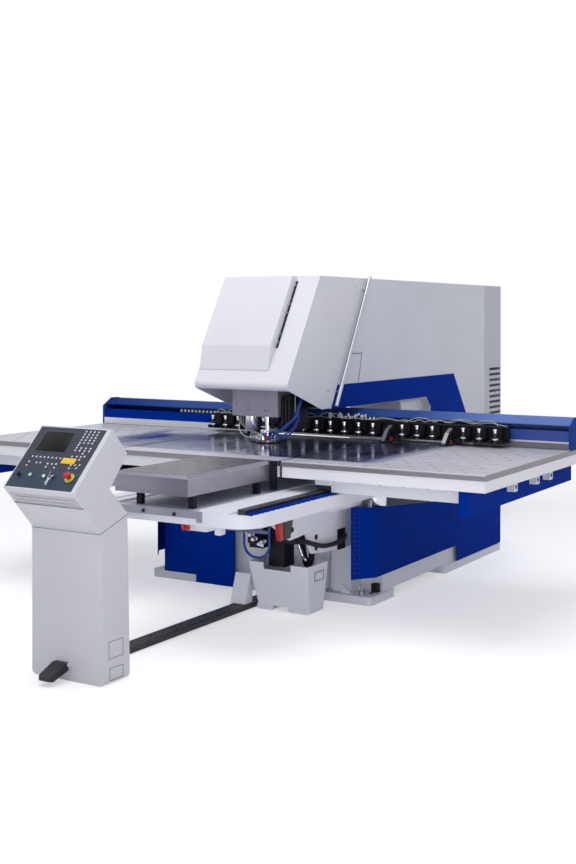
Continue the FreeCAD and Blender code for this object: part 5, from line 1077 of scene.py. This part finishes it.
# %% Ribbed hoses
RIB = 0.0055
RIBBED = (
    ("loop_hose", 0.020, 0.003, rubber, "hose_rubber",
     ((0.545, -1.40, 0.90), (0.545, -1.40, 0.70), (0.540, -1.41, 0.44), (0.585, -1.42, 0.27),
      (0.640, -1.43, 0.36), (0.640, -1.44, 0.62), (0.640, -1.44, 0.90))),
    ("metal_hose", 0.010, 0.003, satin_chrome, "bright_chrome",
     ((0.520, -1.46, 0.90), (0.520, -1.46, 0.66), (0.535, -1.48, 0.50), (0.590, -1.48, 0.36),
      (0.610, -1.47, 0.34), (0.640, -1.46, 0.33))),
)


def ribbed(points, radius, rib, sides=14):
    """A corrugated hose through the points of a smooth curve."""
    knots = [Vector(place) for place in points]
    line = []
    for first, second, third in zip(knots, knots[1:], knots[2:]):
        begin, end = (first + second) / 2, (second + third) / 2
        steps = max(4, int(((second - begin).length + (end - second).length) / RIB))
        for t in (step / steps for step in range(steps)):
            line.append(begin * (1 - t) ** 2 + second * 2 * t * (1 - t) + end * t ** 2)
    print("ribbed hose of", round(sum((b - a).length for a, b in zip(line, line[1:])), 3), "m")

    def make(shape):
        rings = []
        for number, place in enumerate(line[:-1]):
            forward = (line[number + 1] - place).normalized()
            side = forward.cross((0, 1, 0.3)).normalized()
            seat = square_on(place, side, side.cross(forward))
            rings.append(circle(shape, seat, radius + (rib if number % 2 else 0.0), 0.0, sides))
        skin(shape, rings)
        bmesh.ops.recalc_face_normals(shape, faces=list(shape.faces))
    return make


for name, radius, rib, finish, slot, points in RIBBED:
    piece(name, finish, [ribbed(points, radius, rib)], crease=60.0)

# %% [markdown]
# In front of the bulkhead hangs a small valve block with bright couplings. The side plate has a window
# with a rubber frame, three grommets round it, and two bolts hold the platform's lip.

# %% Couplings, window and bolts
BLOCK_FACE = -1.830
COUPLING = ((0, 0.014), (0.010, 0.014), (0.012, 0.010), (0.034, 0.010), (0.036, 0.013), (0.048, 0.013),
            (0.052, 0.008))
PLATE_X = 0.760
WINDOW_Y, WINDOW_Z = -1.2425, 0.471
GROMMET = ((0, 0.018), (0.003, 0.018), (0.005, 0.015))
LIP_BOLT = ((0, 0.013), (0.002, 0.013), (0.003, 0.008), (0.011, 0.008))
piece("block_couplings", satin_chrome,
      [turned(COUPLING, at(x, BLOCK_FACE, z, FRONT), 12)
       for x, z in ((0.376, 0.585), (0.402, 0.560), (0.428, 0.532), (0.498, 0.520))])
piece("block_cover", white_cap,
      [block((0.052, 0.020, 0.004), square_on((0.462, BLOCK_FACE, 0.492), (1, 0, -0.2), (0.2, 0, 1)), 0.001)])
piece("plate_grommets", rubber,
      [block((0.014, 0.146, 0.008), at(PLATE_X, y, WINDOW_Z, RIGHT), 0.003) for y in (-1.290, -1.195)]
      + [block((0.082, 0.014, 0.008), at(PLATE_X, WINDOW_Y, z, RIGHT), 0.003) for z in (0.405, 0.537)]
      + [block((0.086, 0.124, 0.004), at(PLATE_X - 0.003, WINDOW_Y, WINDOW_Z, RIGHT), 0.001)]
      + [turned(GROMMET, at(PLATE_X, y, z, RIGHT))
         for y, z in ((-1.909, 0.632), (-1.592, 0.536), (-1.592, 0.461))])
piece("lip_bolts", dark_steel,
      [turned(LIP_BOLT, at(x, LIP, z, FRONT), 6) for x, z in ((0.305, 0.860), (0.539, 0.857))])

# %% [markdown]
# The black hose that leaves the side plate's window is thick and stiff, so it hangs in one easy bow from
# the window to its grommet. An upright ribbed hose hangs beside it, with a collar above. These two hoses
# and the collar stand for the straighter runs of the solids.

# %% Window hose
BOW = ((0.715, -1.11, 0.500), (0.715, -1.19, 0.500), (0.740, -1.2425, 0.500), (0.806, -1.2425, 0.508),
       (0.816, -1.34, 0.472), (0.814, -1.56, 0.470), (0.812, -1.74, 0.518), (0.800, -1.796, 0.540),
       (0.752, -1.795, 0.540))
COLLAR_FOOT = Vector((0.548, -1.52, 0.745))
COLLAR = ((0, 0.024), (0.053, 0.024), (0.055, 0.022))
LINE_LONG = 0.36     # of the hose's line of points
drop = Vector((0.16, 0, -1)).normalized() * LINE_LONG
thin_hose("window_hose", BOW, 0.0165, rubber)
piece("arm_ribbed_hose", rubber,
      [ribbed([COLLAR_FOOT + drop * share for share in (0, 0.33, 0.67, 1.0)], 0.017, 0.004)], crease=60.0)
piece("arm_hose_collar", rubber, [turned(COLLAR, at(*COLLAR_FOOT), 24)])
for name in ("window_hose", "arm_ribbed_hose", "arm_hose_collar"):
    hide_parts("arm_hoses")

# %% [markdown]
# The dark outlines that the eye uses to read the sheet metal come next. The flap has a seal along its
# rear edge and its top, and the drawer a gap below it and two pull lips on its slanted front.

# %% Seal of the flap, gap and lips of the drawer
FLAP_LOW, FLAP_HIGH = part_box("side_flap")
DRAWER_LOW, DRAWER_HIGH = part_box("keyboard_drawer")
FLAP_FACE = 0.4105
SEAL = (0.005, 0.002)     # width and height
flap_top = Vector((FLAP_FACE, FLAP_HIGH.y, FLAP_HIGH.z - 0.010))
flap_rise = flap_top - Vector((FLAP_FACE, FLAP_HIGH.y - 0.059, FLAP_LOW.z))
run = FLAP_HIGH.y - FLAP_LOW.y - 0.080
piece("flap_seal", seam_grey, [
    block((SEAL[0], flap_rise.length, SEAL[1]),
          square_on(flap_top - flap_rise / 2 - Vector((0, 0.003, 0)), flap_rise.cross((1, 0, 0)), flap_rise)),
    block((run, *SEAL), at(FLAP_FACE, FLAP_HIGH.y - 0.006 - run / 2, FLAP_HIGH.z - 0.014, RIGHT))], "flap")

slope = Vector((0, DRAWER_LOW.y - COLUMN_LOW.y, DRAWER_HIGH.z - HEAD_FOOT.z)).normalized()
drawer_top = Vector(((DRAWER_LOW.x + DRAWER_HIGH.x) / 2, DRAWER_LOW.y, DRAWER_HIGH.z))
wide = DRAWER_HIGH.x - DRAWER_LOW.x


def on_drawer(size, down, edge):
    """A block on the drawer's slanted front, so far below its upper edge."""
    return block(size, square_on(drawer_top - slope * down, (1, 0, 0), slope), edge)


piece("drawer_gap", seam_grey, [on_drawer((wide + 0.030, 0.0045, 0.0012), 0.0835, 0.0004)])
piece("drawer_lip", console_coat,
      [on_drawer((wide - 0.060, 0.006, 0.005), 0.030, 0.0015),
       on_drawer((wide - 0.060, 0.004, 0.003), 0.056, 0.001)], "drawer")

# %% [markdown]
# Small dark discs are painted shade in the bores of the tube ends and in the holes of the beams, and in
# the skirts they are plugs. The same places serve the right and the left side of the machine. Two pins
# carry the grab rail, and each gripper has a red-brown pad.

# %% Holes, pins and pads
TUBE_BORE_SHADE = ((0, 0.013), (0.0012, 0.013), (0.002, 0.012))
BEAM_DOT, SKIRT_DOT = ((0, 0.008), (0.002, 0.007)), ((0, 0.013), (0.0015, 0.012))
TUBE_X, BEAM_X, SKIRT_X = 2.052, 2.0, 0.965
TUBE_ENDS = ((-1.22, 0.926), (-0.80, 0.926), (-0.53, 0.926))
BEAM_DOTS = ((-0.110, 0.900), (-0.110, 0.872), (-0.060, 0.900), (-0.060, 0.872))
SKIRT_DOTS = ((0.286, 0.420), (0.286, 0.330))
RAIL_X, RAIL_PINS = 0.4062, ((-0.797, 1.480), (-0.349, 2.289))
PADS_X, PAD_Y, PAD_Z = [clamp + 0.033 for clamp in (-0.470, 0.768, 1.258)], -0.535, 1.118


def both_sides(profile, x, places, sides):
    """A turned part at each place on the left, and again on the right."""
    return [turned(profile, at(side * x, y, z, facing), sides)
            for side, facing in ((-1, LEFT), (1, RIGHT)) for y, z in places]


# Painted shade: dark discs in the bores of the tube ends and in the holes of the beams.
piece("bore_and_hole_shade", rubber,
      both_sides(TUBE_BORE_SHADE, TUBE_X, TUBE_ENDS, 20) + both_sides(BEAM_DOT, BEAM_X, BEAM_DOTS, 12),
      "y_carriage")
piece("skirt_plugs", rubber, both_sides(SKIRT_DOT, SKIRT_X, SKIRT_DOTS, 16))
piece("rail_pins", satin_chrome,
      [block((0.034, 0.009, 0.006), at(RAIL_X, y, z, RIGHT), 0.002) for y, z in RAIL_PINS])
piece("clamp_pads", rust_pad,
      [block((0.040, 0.026, 0.010), at(x, PAD_Y, PAD_Z, RIGHT), 0.003) for x in PADS_X], "x_carriage")

# %% [markdown]
# A ring with two more keys hangs from the key in its switch. It lies on the panel, so it is drawn in the
# panel's own frame and rides with the key that carries it.

# %% Bunch of keys
KEY_LOW, KEY_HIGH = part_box("key_switch")
slope = Vector((0, PANEL_HIGH.y - PANEL_LOW.y, PANEL_HIGH.z - PANEL_LOW.z)).normalized()
out = Vector((1, 0, 0)).cross(slope)
hub = (KEY_LOW + KEY_HIGH) / 2 + out * 0.004 - slope * 0.014
keys = [ring(0.014, 0.0115, 0.0022, square_on(hub - slope * 0.006, (1, 0, 0), slope), 28)]
for across, length in ((-0.35, 0.034), (0.12, 0.044)):
    hang = (Vector((across, 0, 0)) - slope).normalized()
    blade = hub - slope * 0.016 + hang * length / 2
    keys.append(block((0.0055, length, 0.0016), square_on(blade, hang.cross(out), hang), 0.0005))
    keys.append(turned(((0, 0.0075), (0.0016, 0.0075), (0.002, 0.006)),
                       square_on(hub - slope * 0.014 + hang * 0.004, (1, 0, 0), slope)))
piece("key_bunch", white_cap, keys, "key")

# %% [markdown]
# The camera stands level, two metres up and to the right of the machine's front. Its picture is shifted
# down instead of tilting the camera, because that keeps the upright edges upright.

# %% Camera
CAMERA_PLACE = (4.87, -8.72, 2.03)
CAMERA_TURN = math.radians(31.3)
camera_data = bpy.data.cameras.new("camera")
camera_data.sensor_width = 36.0
camera_data.lens = 50.25
camera_data.shift_y = -0.132
camera = bpy.data.objects.new("camera", camera_data)
camera.location = CAMERA_PLACE
camera.rotation_euler = (math.radians(90), 0, CAMERA_TURN)
bpy.context.scene.collection.objects.link(camera)
bpy.context.scene.camera = camera
print("camera at", CAMERA_PLACE, "with a lens of", camera_data.lens)

# %% [markdown]
# A plain world fills the shadows. What the camera, gloss and glass see of it is pure white, which makes
# the background without putting more light on the machine.

# %% World
WORLD_FILL = 0.42


def seen_directly(nodes):
    """1 for rays of the camera, of gloss and of glass, 0 for the light that falls on surfaces."""
    path = nodes.add("ShaderNodeLightPath")
    total = path.outputs["Is Camera Ray"]
    for kind in ("Is Glossy Ray", "Is Transmission Ray"):
        total = nodes.combined("MAXIMUM", total, path.outputs[kind])
    return total


world = bpy.data.worlds.new("studio")
bpy.context.scene.world = world
world.use_nodes = True
world.node_tree.nodes.clear()
sky = Nodes(world.node_tree)
fill = sky.add("ShaderNodeBackground", Color=(0.93, 0.95, 1.0, 1.0), Strength=WORLD_FILL)
plain_white = sky.add("ShaderNodeBackground", Color=(1.0, 1.0, 1.0, 1.0), Strength=1.0)
light = sky.shaders(seen_directly(sky), fill.outputs[0], plain_white.outputs[0])
sky.add("ShaderNodeOutputWorld", Surface=light)
print("world fills with", WORLD_FILL)

# %% [markdown]
# A product picture like this is lit by large soft boxes: one high above, two in front, and a small low
# one that lights the parts under the tables.

# %% Lamps
LAMPS = (     # name, place, point that it looks at, size, power, degrees of its cone
    ("overhead_box", (0.0, -3.0, 7.5), (0.0, -1.0, 0.8), 6.0, 250, 180),
    ("front_right_box", (7.5, -6.5, 4.5), (0.3, -0.8, 1.0), 4.0, 70, 180),
    ("front_box", (-1.5, -11.0, 4.0), (0.2, -1.5, 1.1), 4.0, 20, 180),
    ("low_front_box", (4.2, -9.0, 0.9), (0.6, -1.3, 0.4), 2.5, 6, 34),
)
for name, place, aim, size, power, cone in LAMPS:
    data = bpy.data.lights.new(name, "AREA")
    data.shape = "SQUARE"
    data.size = size
    data.energy = power
    data.spread = math.radians(cone)
    lamp = bpy.data.objects.new(name, data)
    lamp.location = place
    lamp.rotation_euler = (Vector(aim) - Vector(place)).to_track_quat("-Z", "Y").to_euler()
    bpy.context.scene.collection.objects.link(lamp)
print("lamps:", len(LAMPS))

# %% [markdown]
# The floor is a plain pale sheet that keeps the machine's shadow. Far out it glows to the same white as
# the background, so no horizon shows.

# %% Floor
FLOOR_HALF = 30.0
FLOOR_GLOW = 0.42
GLOW_FROM, GLOW_TO = 4.0, 8.0     # metres from the middle


def floor_paint():
    """Matt and pale near the machine, the white of the background far out."""
    material = bpy.data.materials.new("floor_paint")
    material.use_nodes = True
    material.node_tree.nodes.clear()
    paint = Nodes(material.node_tree)
    matt = paint.add("ShaderNodeBsdfDiffuse", Color=(0.88, 0.88, 0.90, 1.0)).outputs[0]
    glow = paint.add("ShaderNodeEmission", Strength=FLOOR_GLOW).outputs[0]
    white = paint.add("ShaderNodeEmission", Strength=1.0).outputs[0]
    both = paint.fed(paint.add("ShaderNodeAddShader"), ((0, matt), (1, glow)))
    near = paint.shaders(seen_directly(paint), matt, both)
    reach = paint.add("ShaderNodeVectorMath")
    reach.operation = "LENGTH"
    paint.put(reach.inputs[0], paint.add("ShaderNodeTexCoord").outputs["Object"])
    fade = paint.add("ShaderNodeMapRange", From_Min=GLOW_FROM, From_Max=GLOW_TO, Value=reach.outputs["Value"])
    paint.add("ShaderNodeOutputMaterial", Surface=paint.shaders(fade.outputs["Result"], near, white))
    return material


def studio_floor():
    """A wide flat floor, a millimetre below the machine."""
    mesh = bpy.data.meshes.new("studio_floor")
    shape = bmesh.new()
    bmesh.ops.create_grid(shape, x_segments=8, y_segments=8, size=FLOOR_HALF)
    shape.to_mesh(mesh)
    shape.free()
    mesh.materials.append(floor_paint())
    floor = bpy.data.objects.new("studio_floor", mesh)
    floor.location = (0.0, 0.0, -0.001)
    bpy.context.scene.collection.objects.link(floor)
    return floor


studio_floor()

# %% [markdown]
# A machine renders its colours about as they are written only under the plain view transform.

# %% View
bpy.context.scene.view_settings.view_transform = "Standard"
